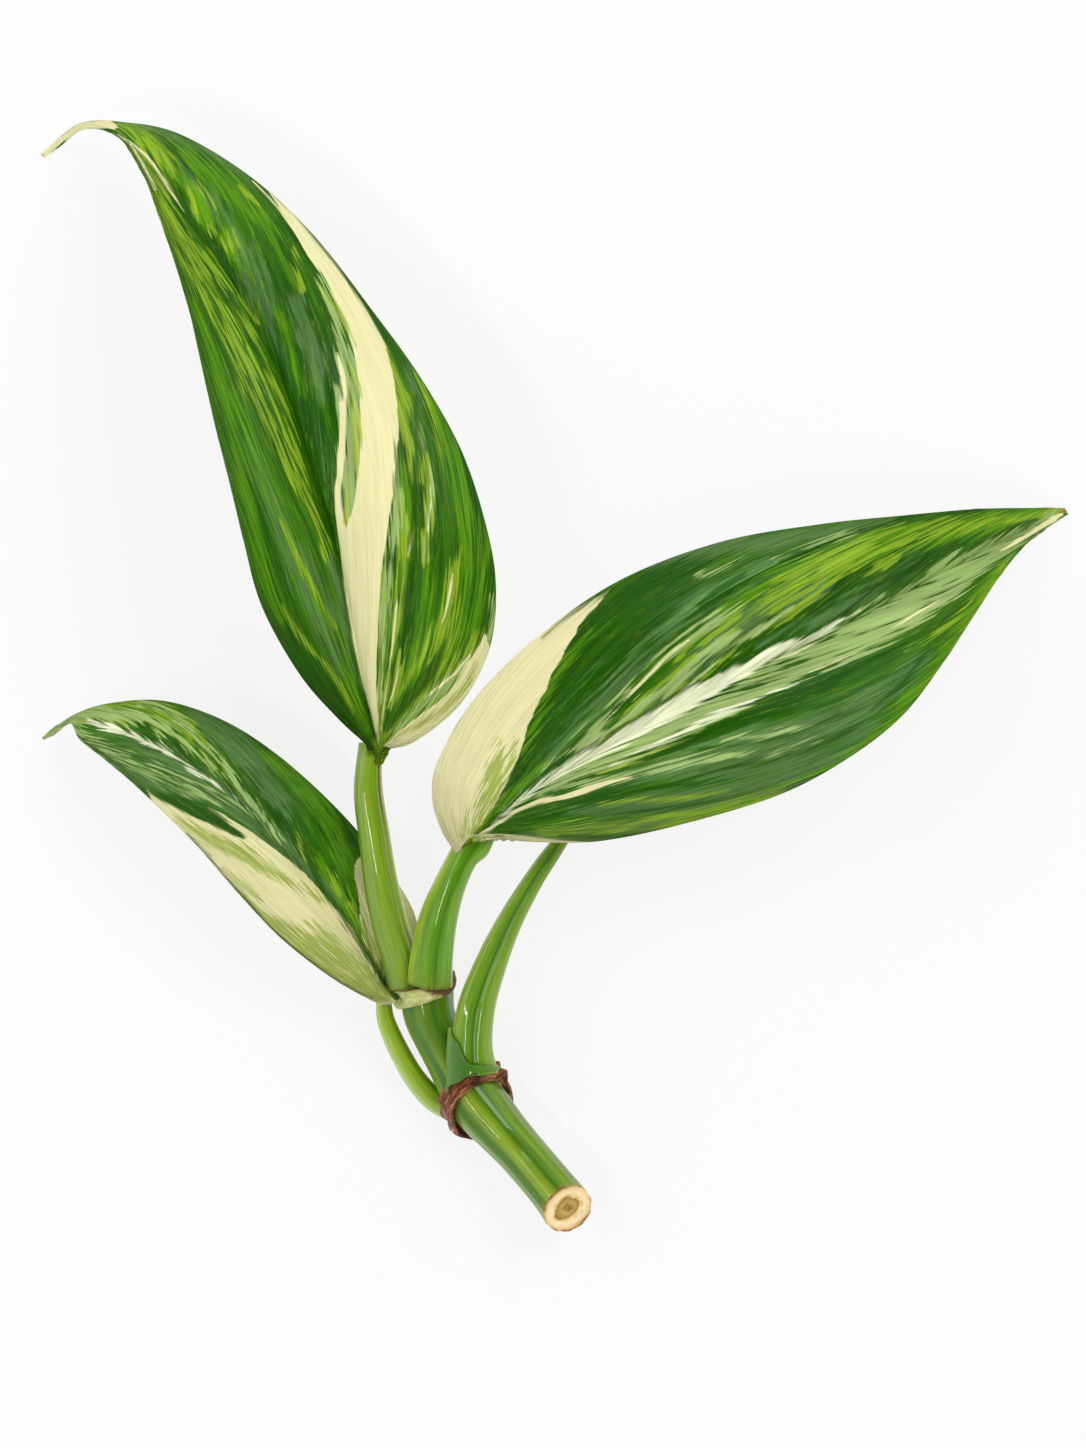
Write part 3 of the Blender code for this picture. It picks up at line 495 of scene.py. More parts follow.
RIGHT_MARKS = {
    "deep": (
        ((548, 684), (560, 664), (577, 640), (598, 610), (625, 584), (660, 560), (720, 540),
         (700, 585), (660, 630), (620, 678), (578, 720), (548, 752), (520, 780), (498, 802),
         (482, 822), (498, 797), (512, 772), (521, 752), (532, 720)),
        ((722, 672, 2), (750, 655, 5), (785, 634, 8), (820, 612, 10), (860, 590, 11),
         (900, 572, 10), (935, 556, 8), (970, 542, 4)),
    ),
    # Grey-green, partly the leaf's own colour and partly painted sheen.
    "grey_and_sheen": (
        ((520, 838, 4), (580, 834, 9), (640, 828, 10), (700, 815, 11), (760, 795, 11),
         (820, 762, 10), (870, 725, 8)),
        ((600, 815, 4), (660, 806, 8), (720, 796, 10), (780, 775, 10), (830, 745, 10),
         (880, 700, 8), (915, 665, 5)),
        ((520, 790, 1.5), (545, 762, 3.5), (575, 730, 5), (605, 697, 7), (640, 660, 9),
         (670, 628, 9), (700, 600, 8), (730, 583, 5), (770, 562, 3)),
        ((650, 563, 4), (710, 547, 8), (770, 540, 8), (830, 530, 6), (890, 520, 2)),
        ((610, 780, 3), (650, 772, 8), (700, 762, 17), (750, 752, 25), (800, 738, 20),
         (850, 712, 13), (890, 690, 8), (930, 655, 3)),
        ((570, 812, 2), (640, 803, 7), (700, 796, 8), (760, 785, 8)),
        ((760, 646, 2), (800, 625, 5), (840, 606, 7), (880, 585, 6), (920, 565, 3)),
        ((620, 728, 4), (660, 694, 8), (700, 656, 12), (740, 628, 13), (780, 606, 10),
         (820, 585, 7)),
    ),
    "bright": (
        ((720, 618, 4), (760, 592, 10), (800, 572, 13), (850, 554, 15), (900, 541, 13),
         (950, 531, 10), (1000, 522, 6), (1045, 514, 4)),
        ((640, 838, 2), (700, 818, 3), (780, 795, 4), (840, 765, 4), (890, 722, 5), (930, 675, 6),
         (960, 630, 8), (990, 585, 7), (1015, 553, 3)),
        ((480, 828, 2), (500, 806, 5), (520, 785, 4), (540, 765, 2)),
        ((549, 690, 1.5), (558, 672, 3.5), (572, 655, 3), (590, 632, 1.5)),
        ((522, 760, 1), (530, 735, 3), (540, 712, 2.5), (550, 690, 1)),
    ),
    "flecks": (
        ((760, 600, 3), (810, 570, 7), (860, 550, 8), (910, 535, 7), (960, 526, 5), (1010, 520, 3)),
        ((540, 834, 2), (620, 828, 4), (700, 815, 5), (780, 792, 4)),
        ((930, 690, 2), (955, 655, 4), (980, 615, 4), (1005, 570, 3)),
        ((575, 760, 1), (620, 728, 3), (660, 694, 7), (700, 656, 13), (740, 628, 15),
         (780, 606, 12), (820, 585, 9), (860, 567, 6), (890, 556, 3)),
    ),
    "lime": (
        ((462, 842, 2), (474, 840, 4), (484, 834, 3)),
        ((600, 803, 0.2), (640, 800, 1), (690, 797, 0.9), (730, 792, 0.2)),
        ((632, 817, 0.4), (665, 816, 1.6), (700, 813, 1.4), (738, 803, 0.4)),
        ((905, 652, 0.2), (935, 634, 0.8), (958, 618, 0.9), (972, 600, 0.2)),
        ((1000, 522, 1), (1020, 519, 2.4), (1045, 514, 3), (1064, 511, 4)),
    ),
    "sage": (
        ((700, 577, 0.3), (725, 568, 1.0), (745, 556, 0.3)),
        ((775, 560, 0.3), (800, 550, 1.2), (830, 538, 1.6), (855, 533, 0.4)),
        ((640, 766, 0.2), (670, 762, 0.9), (700, 759, 1.1), (730, 755, 0.2)),
        ((720, 738, 0.2), (760, 736, 1.2), (800, 728, 0.9), (825, 722, 0.2)),
        ((740, 757, 0.2), (780, 753, 1), (820, 740, 0.2)),
        ((505, 812, 1), (530, 797, 3), (560, 783, 6), (600, 764, 8), (640, 745, 9), (680, 726, 10),
         (720, 706, 12), (760, 684, 14), (800, 664, 16), (840, 646, 17), (880, 625, 18),
         (920, 600, 18), (960, 574, 14), (1000, 548, 10), (1040, 524, 6), (1060, 514, 3)),
        ((620, 728, 1.5), (650, 702, 3), (680, 678, 3), (705, 655, 2.5), (735, 634, 1)),
        ((820, 632, 2), (860, 610, 2), (890, 593, 1.6), (930, 569, 1.4), (956, 556, 0.8)),
        ((520, 800, 1), (560, 786, 2), (600, 781, 2.4), (640, 772, 2.6), (675, 766, 2),
         (700, 760, 1)),
        ((654, 703, 1.2), (680, 685, 3), (705, 666, 4), (725, 650, 4), (745, 637, 3.4),
         (765, 626, 2), (790, 610, 1)),
        ((560, 764, 1), (578, 747, 2.4), (600, 724, 3.6), (618, 706, 3.6), (640, 684, 3.6),
         (655, 668, 4), (670, 653, 4.4), (686, 641, 3.6), (702, 630, 3), (722, 616, 2),
         (748, 604, 1)),
        ((540, 783, 0.8), (556, 766, 2), (575, 750, 2.4), (600, 738, 2), (625, 722, 1.2)),
    ),
    "cream": (
        ((612, 588), (603, 597), (597, 606), (588, 614), (579, 625), (574, 636), (566, 648),
         (562, 658), (554, 669), (549, 681), (546, 690), (540, 700), (534, 712), (529, 724),
         (524, 738), (520, 752), (515, 766), (508, 780), (501, 794), (492, 810), (482, 824),
         (470, 836), (462, 846), (456, 866), (440, 866), (430, 830), (425, 780), (450, 710),
         (520, 640)),
        ((481, 834, 1.2), (500, 822, 1.8), (520, 809, 2.4), (540, 802, 2.6), (565, 797, 2.6),
         (590, 789, 2.6), (612, 782, 2), (634, 777, 1)),
        ((603, 723, 0.2), (625, 700, 0.9), (648, 676, 1.2), (668, 655, 0.8), (690, 639, 0.2)),
        ((768, 662, 0.2), (790, 655, 1.4), (810, 646, 1.2), (830, 636, 0.2)),
        ((470, 836, 1.5), (500, 837, 3), (525, 839, 3.2), (550, 842, 3), (580, 844, 2.2),
         (606, 844, 1)),
        ((880, 632, 0.1), (900, 624, 0.7), (922, 610, 0.8), (942, 598, 0.1)),
        ((1000, 552, 0.4), (1018, 541, 1.6), (1036, 530, 2), (1050, 521, 2.6), (1062, 514, 2)),
        ((800, 676, 0.1), (830, 664, 0.7), (858, 652, 0.1)),
    ),
    "wash": (
        ((500, 738), (504, 755), (501, 775), (496, 795), (488, 812), (478, 830), (468, 838),
         (473, 822), (480, 800), (484, 780), (486, 765), (493, 758)),
        ((515, 738, 1), (512, 756, 2), (505, 775, 2), (497, 792, 2.4), (489, 808, 2),
         (480, 822, 1.4)),
        ((468, 812, 0.8), (466, 824, 2.2), (463, 836, 2)),
        ((600, 775, 0.7), (640, 758, 1.4), (680, 741, 1), (700, 731, 0.5)),
    ),
    "white": (
        ((487, 831, 1), (520, 801, 2.0), (560, 772, 3.6), (600, 748, 6), (640, 727, 8),
         (670, 710, 9.5), (700, 693, 10), (725, 680, 8.4), (745, 669, 6.6), (762, 660, 5),
         (790, 646, 3.6), (812, 636, 2.6), (835, 624, 1.6), (860, 610, 0.6)),
        ((610, 766, 0.2), (640, 751, 1.0), (670, 738, 1.5), (700, 723, 2.2), (722, 713, 2.4),
         (745, 704, 1.6), (770, 693, 0.7), (800, 682, 0.2)),
    ),
    "dark": (
        ((541, 639, 0.6), (560, 622, 1.4), (580, 608, 1.6), (598, 597, 1.4), (615, 587, 1)),
        ((618, 769, 0.8), (650, 757, 1.6), (690, 741, 3), (730, 725, 4.5), (760, 713, 5),
         (790, 700, 5), (815, 690, 4), (845, 675, 3), (870, 663, 2.4), (905, 642, 1.4),
         (935, 622, 0.8)),
        ((722, 672, 0.6), (750, 655, 1.6), (785, 634, 2), (820, 612, 2.6), (860, 592, 3),
         (900, 574, 3), (935, 558, 2), (970, 543, 1)),
        ((520, 793, 0.4), (560, 764, 0.9), (600, 739, 1), (640, 716, 1), (676, 694, 0.7),
         (700, 680, 0.4)),
        ((700, 606, 3), (722, 588, 3), (745, 573, 2)),
        ((835, 626, 0.4), (862, 612, 1.6), (885, 600, 1.4), (915, 584, 0.5)),
        ((800, 652, 0.4), (818, 644, 1.6), (835, 634, 0.9)),
        ((500, 818, 0.8), (540, 808, 3), (600, 797, 4), (640, 790, 2), (700, 783, 1)),
        ((700, 772, 0.6), (760, 762, 1.6), (820, 745, 1.6), (870, 718, 1.2), (900, 695, 0.6)),
        ((680, 750, 0.5), (740, 745, 1.4), (800, 732, 1.2), (840, 712, 0.6)),
        ((600, 815, 0.6), (660, 809, 1.4), (720, 800, 1), (780, 785, 0.5)),
        ((870, 712, 0.8), (895, 690, 3), (915, 668, 2.4), (930, 648, 1)),
        ((560, 836, 0.8), (620, 836, 1.6), (700, 824, 1.4), (780, 800, 1.5), (840, 772, 1.4),
         (900, 722, 1.6), (950, 660, 1.4), (990, 597, 1.3), (1020, 548, 0.8)),
    ),
    "dry": (
        ((1058, 513, 0.4), (1064, 511, 1.6), (1070, 508, 4)),
    ),
}
LOW_MARKS = {
    "deep": (
        ((240, 750, 5), (262, 785, 8), (282, 815, 12), (296, 845, 11), (310, 870, 8),
         (325, 892, 6)),
        ((215, 712, 4), (260, 735, 8), (295, 768, 8), (325, 800, 8), (345, 840, 6)),
    ),
    # Grey-green, partly the leaf's own colour and partly painted sheen.
    "grey_and_sheen": (
        ((110, 730, 4), (150, 752, 8), (190, 775, 11), (225, 797, 12), (255, 820, 11),
         (280, 843, 9), (305, 868, 6), (330, 898, 3.5), (352, 930, 2)),
        ((190, 712, 5), (225, 735, 12), (250, 762, 12), (270, 790, 8), (285, 815, 4)),
        ((110, 755, 4), (140, 776, 6), (170, 790, 5), (200, 800, 3)),
    ),
    "bright": (
        ((270, 755, 3), (300, 785, 7), (325, 815, 8), (340, 845, 7), (350, 875, 7), (356, 905, 4)),
        ((318, 858, 2), (332, 878, 5), (345, 900, 5), (356, 925, 3)),
        ((200, 735, 2), (222, 765, 5), (240, 792, 4)),
    ),
    "flecks": (
        ((66, 721, 3), (90, 714, 7), (120, 712, 10), (150, 714, 10), (175, 722, 8), (195, 738, 6),
         (215, 760, 4), (235, 785, 2)),
    ),
    "lime": (
        ((326, 868, 0.6), (333, 880, 1.5), (340, 893, 0.7)),
        ((298, 832, 0.4), (301, 845, 0.8), (306, 862, 0.4)),
    ),
    "sage": (
        ((70, 730, 0.6), (95, 743, 1.6), (120, 757, 1.2), (150, 772, 1.2), (185, 785, 0.8),
         (215, 793, 0.3)),
        ((72, 735, 2), (92, 752, 2), (112, 769, 1.2), (130, 786, 0.4)),
        ((150, 762, 0.2), (180, 777, 0.9), (215, 792, 1), (245, 808, 0.8), (270, 826, 0.3)),
        ((130, 768, 0.2), (160, 780, 0.7), (190, 792, 0.7), (220, 803, 0.2)),
        ((60, 722, 4), (80, 717, 6), (105, 714, 7), (130, 716, 6), (150, 721, 4), (168, 730, 2)),
        ((140, 703, 2), (165, 709, 2.4), (182, 722, 2.6), (198, 738, 2.6), (214, 756, 2.8),
         (229, 774, 3), (242, 791, 2.8), (253, 805, 2.2), (264, 819, 1.4), (282, 840, 0.8)),
        ((160, 724, 1), (180, 738, 1.5), (200, 757, 1.5), (217, 775, 0.8)),
        ((74, 729, 0.8), (92, 738, 1.8), (112, 747, 1.2), (130, 755, 0.6)),
        ((36, 744, 7), (48, 733, 7), (58, 727, 6), (68, 722, 3)),
    ),
    "cream": (
        ((146, 789), (160, 799), (178, 808), (193, 817), (207, 822), (222, 829), (236, 836),
         (245, 839), (242, 834), (228, 824), (212, 812), (207, 807), (225, 815), (243, 826),
         (258, 837), (274, 849), (290, 860), (304, 873), (318, 888), (330, 902), (342, 915),
         (352, 928), (361, 944), (370, 960), (378, 975), (386, 992), (400, 1005), (370, 1005),
         (330, 990), (290, 955), (245, 910), (205, 868), (165, 826)),
        ((363, 854), (357, 860), (354, 866), (355, 878), (358, 890), (359, 910), (361, 930),
         (364, 942), (374, 958), (384, 976), (390, 990), (420, 980), (430, 900), (390, 850)),
    ),
    "wash": (
        ((176, 818, 1.5), (195, 830, 4), (218, 843, 6), (242, 853, 6.5), (264, 867, 5),
         (286, 880, 4), (306, 892, 3), (326, 902, 1.5)),
        ((222, 868, 0.8), (238, 880, 1.8), (252, 892, 2), (262, 900, 0.8)),
        ((225, 878), (240, 890), (255, 904), (275, 917), (300, 929), (325, 938), (352, 951),
         (372, 970), (386, 988), (392, 1000), (360, 1006), (300, 970), (240, 910)),
        ((304, 921, 1), (322, 932, 3.2), (338, 943, 3.4), (354, 957, 2)),
        ((350, 905, 2), (364, 930, 4), (376, 955, 5), (386, 975, 4)),
    ),
    "white": (
        ((88, 721, 0.8), (108, 727, 2.8), (130, 735, 3), (150, 744, 2.6), (166, 752, 2),
         (182, 762, 1.1), (202, 775, 0.7), (222, 788, 0.5), (238, 799, 0.3)),
    ),
    "dark": (
        ((148, 792, 1), (168, 799, 4.5), (190, 806, 7), (210, 816, 7), (226, 826, 5), (238, 834, 3),
         (244, 838, 0.8)),
        ((187, 834, 1.0), (206, 854, 1.3), (224, 876, 1.6), (241, 895, 1.8), (260, 917, 2.0),
         (280, 937, 2.2), (302, 956, 2.2), (325, 973, 2.0), (345, 986, 1.8), (362, 996, 1.2)),
        ((306, 862, 1), (322, 888, 2.6), (340, 914, 3), (356, 938, 2.6), (370, 960, 2.2),
         (384, 984, 1.4)),
        ((193, 741, 0.5), (208, 752, 2), (220, 768, 1.2), (232, 784, 0.5)),
    ),
    "dry": (
        ((42, 738, 0.4), (38, 742, 1.6), (34, 746, 4)),
    ),
}

# Colours round each stalk, from its right side over its top, at a quarter, to its left side and
# back under it: (share of the way round, sRGB hex). Besides the stalks' own stripes, some stops are
# painted light: paler where light falls on a side and darker where shade falls, as noted at each.
# Tall petiole: its pale right edge is a painted highlight, and its darker band right of the top
# painted shade.
TALL_PETIOLE_COLOURS = (
    (0.0, "AEC285"), (0.05, "92AC44"), (0.1, "76960F"), (0.19, "6E9206"), (0.25, "80A21C"),
    (0.33, "80A030"), (0.42, "769A30"), (0.5, "688C24"), (0.75, "7C9E34"), (0.97, "9CB464"),
)
# Right petiole: its pale right edge and paler left side are painted light, and its dark band right
# of the top painted shade.
RIGHT_PETIOLE_COLOURS = (
    (0.0, "98B46C"), (0.07, "7CA23A"), (0.13, "6E9E28"), (0.18, "5E920C"), (0.21, "467804"),
    (0.25, "568C06"), (0.3, "6A9810"), (0.34, "5C8E0A"), (0.39, "7CA214"), (0.44, "A2B82A"),
    (0.5, "AABC44"), (0.75, "7CA030"),
)
# Low petiole: its paler upper left side is painted light.
LOW_PETIOLE_COLOURS = (
    (0.0, "76861C"), (0.08, "7C9A14"), (0.2, "86A820"), (0.32, "98B638"), (0.4, "B2CC66"),
    (0.47, "A6C254"), (0.55, "9CBA4C"), (0.8, "809C30"),
)
# Sheath: its dark band along the top is painted shade in its groove.
SHEATH_COLOURS = (
    (0.0, "88A458"), (0.06, "90A850"), (0.12, "7A9C30"), (0.18, "6C9420"), (0.225, "568406"),
    (0.25, "3E7002"), (0.28, "54860A"), (0.34, "6E961E"), (0.4, "7EA02A"), (0.46, "9CB238"),
    (0.5, "9EB244"), (0.75, "74942E"),
)
SCALE_COLOURS = (
    (0.0, "6A9636"), (0.3, "4C800C"), (0.52, "386C02"), (0.7, "427608"), (0.86, "548618"),
    (0.97, "78A040"),
)
# Stem: its lighter left side is a painted highlight; its other stripes are its own.
STEM_COLOURS = (
    (0.0, "828E58"), (0.05, "667E2E"), (0.1, "648A0A"), (0.15, "6C9210"), (0.19, "4C7A04"),
    (0.225, "427202"), (0.255, "7A9618"), (0.28, "86A024"), (0.31, "84A024"), (0.345, "4C7A08"),
    (0.38, "447208"), (0.42, "6C9222"), (0.46, "7A9A34"), (0.5, "789438"), (0.6, "4A7418"),
    (0.75, "3F6C10"), (0.9, "5E822C"),
)

# Tints over a stalk: colour, middle and half width as shares of the way round, the shares along
# it where the tint starts and is full, and its cover.
STALK_TINTS = {
    "stem": (("B87F22", 0.25, 0.6, 0.2, 0.13, 0.75), ("2F6404", 0.2, 0.24, 0.7, 0.86, 0.6)),
    "tall_leaf_petiole": (
        ("6B3D22", 0.085, 0.018, 0.72, 0.8, 0.9),
        ("B79A86", 0.04, 0.025, 0.6, 0.8, 0.8),
        ("D2D69A", 0.25, 0.6, 0.12, 0.0, 0.3),
    ),
    "right_leaf_petiole": (
        # The pale streak along the left side of the right petiole is a painted gloss highlight.
        ("C6C760", 0.47, 0.05, 0.5, 0.7, 0.8),
        ("7A8418", 0.3, 0.6, 0.14, 0.02, 0.5),
        ("5A3418", 0.3, 0.6, 0.05, 0.02, 0.9),
    ),
    "low_leaf_petiole": (("BFD083", 0.3, 0.6, 0.2, 0.0, 0.7),),
    "bud_scale": (("80A444", 0.88, 0.2, 0.4, 1.0, 0.5),),
}

# Cut flesh from its middle to its rim: (share, sRGB hex). Its mottle has cells this wide, in
# millimetres, which shift the rings by a share of the radius and change the brightness.
FLESH_COLOURS = (
    (0.0, "5E3A14"), (0.08, "8E6A26"), (0.2, "C2A650"), (0.34, "BC9A48"), (0.41, "94702E"),
    (0.47, "E6C67E"), (0.62, "FFEAB8"), (0.78, "F6D69C"), (0.87, "CC9860"), (0.93, "84502C"),
    (1.0, "4E2A16"),
)
FLESH_CELL = 1.2
FLESH_SHIFT = 0.15
FLESH_VALUE = (0.6, 0.72)

# Cork and collar: colours from the furrows of the wrinkles to their ridges, the millimetres round
# the band's section and round the stem, and the width and length of a wrinkle.
# On the cork, the dark end is painted shade in the furrows and the pale copper end a painted
# highlight on the ridges; between them lies its own brown.
CORK_COLOURS = (
    (0.3, "280E04"), (0.42, "56260C"), (0.51, "84461E"), (0.6, "B0703E"), (0.7, "E2B08A"),
)
CORK_GIRTHS = (6.0, 32.0)
CORK_WRINKLE = (0.45, 2.6)
COLLAR_COLOURS = ((0.3, "96703C"), (0.42, "A8B062"), (0.58, "C8CC8C"), (0.72, "DCDAAC"))
COLLAR_GIRTHS = (5.0, 30.0)
COLLAR_WRINKLE = (1.0, 2.5)

# Brown of the collar: its colour, the shares round the section where it starts and is full, and its
# cover; how far the wrinkles move it; and the turns from the left side where the knob's brown
# starts and is full, and how much it adds.
COLLAR_EDGE_COLOUR = "5E3420"
COLLAR_EDGE = (0.24, 0.34, 0.92)
COLLAR_EDGE_SHIFT = 0.3
KNOB_BROWN = (0.22, 0.42, 0.5)

# Stage: the paper, the heights where the sky starts to dim and is dimmest, and how dim that is.
# Softboxes have a name, a place, a width and length in metres, and power as a share of the key
# setting. The strip draws the line of gloss along the stem.
PAPER_COLOUR = "6E6E6F"
SKY_HEIGHTS = (0.35, 0.9)
SKY_ZENITH = 0.12
SOFTBOXES = (
    ("key_softbox", (0.5, 0.5, 1.05), (0.7, 0.7), 0.9),
    ("fill_softbox", (-0.8, 0.35, 0.85), (0.6, 0.6), 0.3),
    ("strip_softbox", (-0.46, -0.38, 1.1), (0.7, 0.04), 0.42),
)


def linear(hex_colour):
    """Linear RGBA of an sRGB colour written in hex."""
    shares = [int(hex_colour[i : i + 2], 16) / 255 for i in (0, 2, 4)]
    rgb = [c / 12.92 if c <= 0.04045 else ((c + 0.055) / 1.055) ** 2.4 for c in shares]
    return (*rgb, 1.0)


def spline(rows, t):
    """Values at each t, from 0 to 1, on the smooth curve through the rows (Catmull-Rom)."""
    rows = np.array(rows, float)
    rows = np.vstack([2 * rows[0] - rows[1], rows, 2 * rows[-1] - rows[-2]])
    reach = np.asarray(t, float) * (len(rows) - 3)
    k = np.clip(reach.astype(int), 0, len(rows) - 4)
    f = (reach - k)[..., None]
    a, b, c, d = (rows[k + i] for i in range(4))
    bend = 2 * a - 5 * b + 4 * c - d
    twist = 3 * b - a - 3 * c + d
    return 0.5 * (2 * b + (c - a) * f + bend * f**2 + twist * f**3)


def bell(x, spread):
    """One at x = 0, falling smoothly to nothing a few spreads away."""
    return np.exp(-((x / spread) ** 2))


def between(ends, share):
    """Value a share of the way from the first end to the second."""
    return ends[0] + (ends[1] - ends[0]) * share


def left_share(angle):
    """Zero on a stalk's right side, growing to one on its left."""
    return (1 - np.cos(angle)) / 2


def turn_between(a, b):
    """Smallest turn from angle b to angle a, in radians."""
    return np.mod(a - b + math.pi, 2 * math.pi) - math.pi


def ridges_at(angle, ridges):
    """Height of the ridges along a stalk at each angle round it."""
    return sum(height * np.cos(count * angle + count) for height, count in ridges)


def ripple(points, across, along, seed):
    """Soft noise, -1 to 1, at points whose columns run across and along the veins."""
    return np.array(
        [noise.noise(Vector((p[0] * across, p[1] * along, seed))) for p in points.tolist()]
    )


def add_node(tree, kind, inputs=(), stops=(), **settings):
    """Add a node and give its outputs: settings are its own, inputs sets or links its sockets.

    Inputs are values in the order of the sockets, or a dictionary by the sockets' names or numbers.
    A colour ramp also takes its stops: (position, sRGB hex) pairs in order.
    """
    made = tree.nodes.new(kind)
    for key, value in settings.items():
        setattr(made, key, value)
    if stops:
        ramp = made.color_ramp.elements
        ramp.remove(ramp[1])
        ramp[0].position, ramp[0].color = stops[0][0], linear(stops[0][1])
        for position, colour in stops[1:]:
            ramp.new(position).color = linear(colour)
    for socket, value in inputs.items() if isinstance(inputs, dict) else enumerate(inputs):
        if isinstance(value, bpy.types.NodeSocket):
            tree.links.new(value, made.inputs[socket])
        else:
            made.inputs[socket].default_value = value
    return made.outputs


def plain_material(name, roughness, specular):
    """Material that has no pattern yet, and the call that adds a node to it."""
    material = bpy.data.materials.new(name)
    material.use_nodes = True
    shader = material.node_tree.nodes["Principled BSDF"]
    shader.inputs["Roughness"].default_value = roughness
    shader.inputs["Specular IOR Level"].default_value = specular
    return material, functools.partial(add_node, material.node_tree)


def dress(material, colour, height, relief):
    """Give a material its pattern of colour, and a relief this many millimetres high."""
    tree = material.node_tree
    shader = tree.nodes["Principled BSDF"]
    bump = add_node(tree, "ShaderNodeBump", {"Height": height, "Distance": relief * MM})[0]
    tree.links.new(colour, shader.inputs["Base Color"])
    tree.links.new(bump, shader.inputs["Normal"])
    return material


def shifted(node, value, cells, amount):
    """Value moved by noise, by up to the amount to either side. Noise lies round 0.5."""
    value = node(MATH, (cells, 2 * amount, value), operation="MULTIPLY_ADD")[0]
    return node(MATH, (value, amount), operation="SUBTRACT")[0]


def gap_from(node, value, middle):
    """How far a value is from a middle one, to either side."""
    gap = node(MATH, (value, middle), operation="SUBTRACT")[0]
    return node(MATH, (gap,), operation="ABSOLUTE")[0]


def finished(name, mesh, material):
    """Put a piece in the scene in place of the solid of the same name."""
    mesh.shade_smooth()
    mesh.materials.append(material)
    piece = bpy.data.objects.new(name + "_dressed", mesh)
    bpy.context.scene.collection.objects.link(piece)
    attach(piece, BODY)
    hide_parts(name)
    return piece


# Leaves


def vein_of(s, t):
    """Which vein runs through a point of a blade: 1 at the tip, 0 from the base of the midrib."""
    sweep = VEIN_REACH * np.abs(s) ** VEIN_CURVE
    return (t - sweep) / (1 - sweep)


def blade_points(rows, s, t, fold_height, crease_depth):
    """Points on a blade's upper face: s is -1 at its left margin and 1 at its right one."""
    rib = spline([row[0] for row in rows], t)
    left = spline([row[1] for row in rows], t)
    right = spline([row[2] for row in rows], t)
    margin = np.where(s[:, None] < 0, left, right)
    margin[:, 2] += rib[:, 2]
    half = margin - rib
    half_width = np.linalg.norm(half, axis=1)
    out = np.abs(s)
    arch = BLADE_ARCH * half_width * np.sin(math.pi * out**ARCH_LEAN)
    pleat_at = t - VEIN_SWEEP * out**VEIN_BEND * (1 - t)
    ends = np.sin(math.pi * np.clip(t, 0, 1))
    inside = np.sin(math.pi * out)
    pleat = PLEAT_HEIGHT * np.sin(2 * math.pi * PLEATS * pleat_at) * inside * ends**PLEAT_FADE
    places = np.stack([vein_of(s, t) + OTHER_SIDE * (s > 0), t], axis=1)
    fold = fold_height * sum(share * ripple(places, *scales) for share, scales in FOLDS)
    fold = fold * inside ** FOLD_FADES[0] * ends ** FOLD_FADES[1]
    crease = -crease_depth * bell(out * half_width, CREASE_SPREAD) * np.clip(1 - t, 0, 1)
    return rib + out[:, None] * half + UP * (arch + pleat + fold + crease)[:, None]


def plan_places(points):
    """Where points lie on the plan that the marks are drawn on, seen from the camera."""
    away = (CAMERA[2] - PLAN_HEIGHT) / (UNIT * (CAMERA[2] - points[:, 2]))
    across = PLAN_MIDDLE[0] + (points[:, 0] - CAMERA[0]) * away
    down = PLAN_MIDDLE[1] - (points[:, 1] - CAMERA[1]) * away
    return np.stack([across, down], axis=1)


def inside_stroke(places, rows):
    """Depth inside a stroke that is drawn through the rows, negative outside it."""
    rows = spline(rows, np.linspace(0, 1, 4 * (len(rows) - 1) + 1))
    depth = np.full(len(places), -1e9)
    for a, b in zip(rows[:-1], rows[1:]):
        way = b[:2] - a[:2]
        share = np.clip((places - a[:2]) @ way / (way @ way), 0, 1)
        gap = np.linalg.norm(places - a[:2] - share[:, None] * way, axis=1)
        depth = np.maximum(depth, np.maximum(between((a[2], b[2]), share), 0) - gap)
    return depth


def inside_patch(places, outline):
    """Depth inside a patch with straight edges, negative outside it."""
    corners = np.array(outline, float)
    depth = np.full(len(places), 1e9)
    inside = np.zeros(len(places), bool)
    for a, b in zip(corners, np.roll(corners, -1, axis=0)):
        way = b - a
        share = np.clip((places - a) @ way / (way @ way), 0, 1)
        depth = np.minimum(depth, np.linalg.norm(places - a - share[:, None] * way, axis=1))
        spans = (a[1] > places[:, 1]) != (b[1] > places[:, 1])
        if a[1] != b[1]:
            reach = a[0] + (places[:, 1] - a[1]) * way[0] / way[1]
            inside ^= spans & (places[:, 0] < reach)
    return np.where(inside, depth, -depth)


def mark_depths(places, marks):
    """Depth in millimetres inside the marks of each layer."""
    depths = {layer: np.full(len(places), OUTSIDE) for layer in LEAF_LAYERS}
    for layer, drawn in marks.items():
        for rows in drawn:
            inside = inside_stroke if len(rows[0]) == 3 else inside_patch
            depths[layer] = np.maximum(depths[layer], UNIT * inside(places, rows))
    return depths


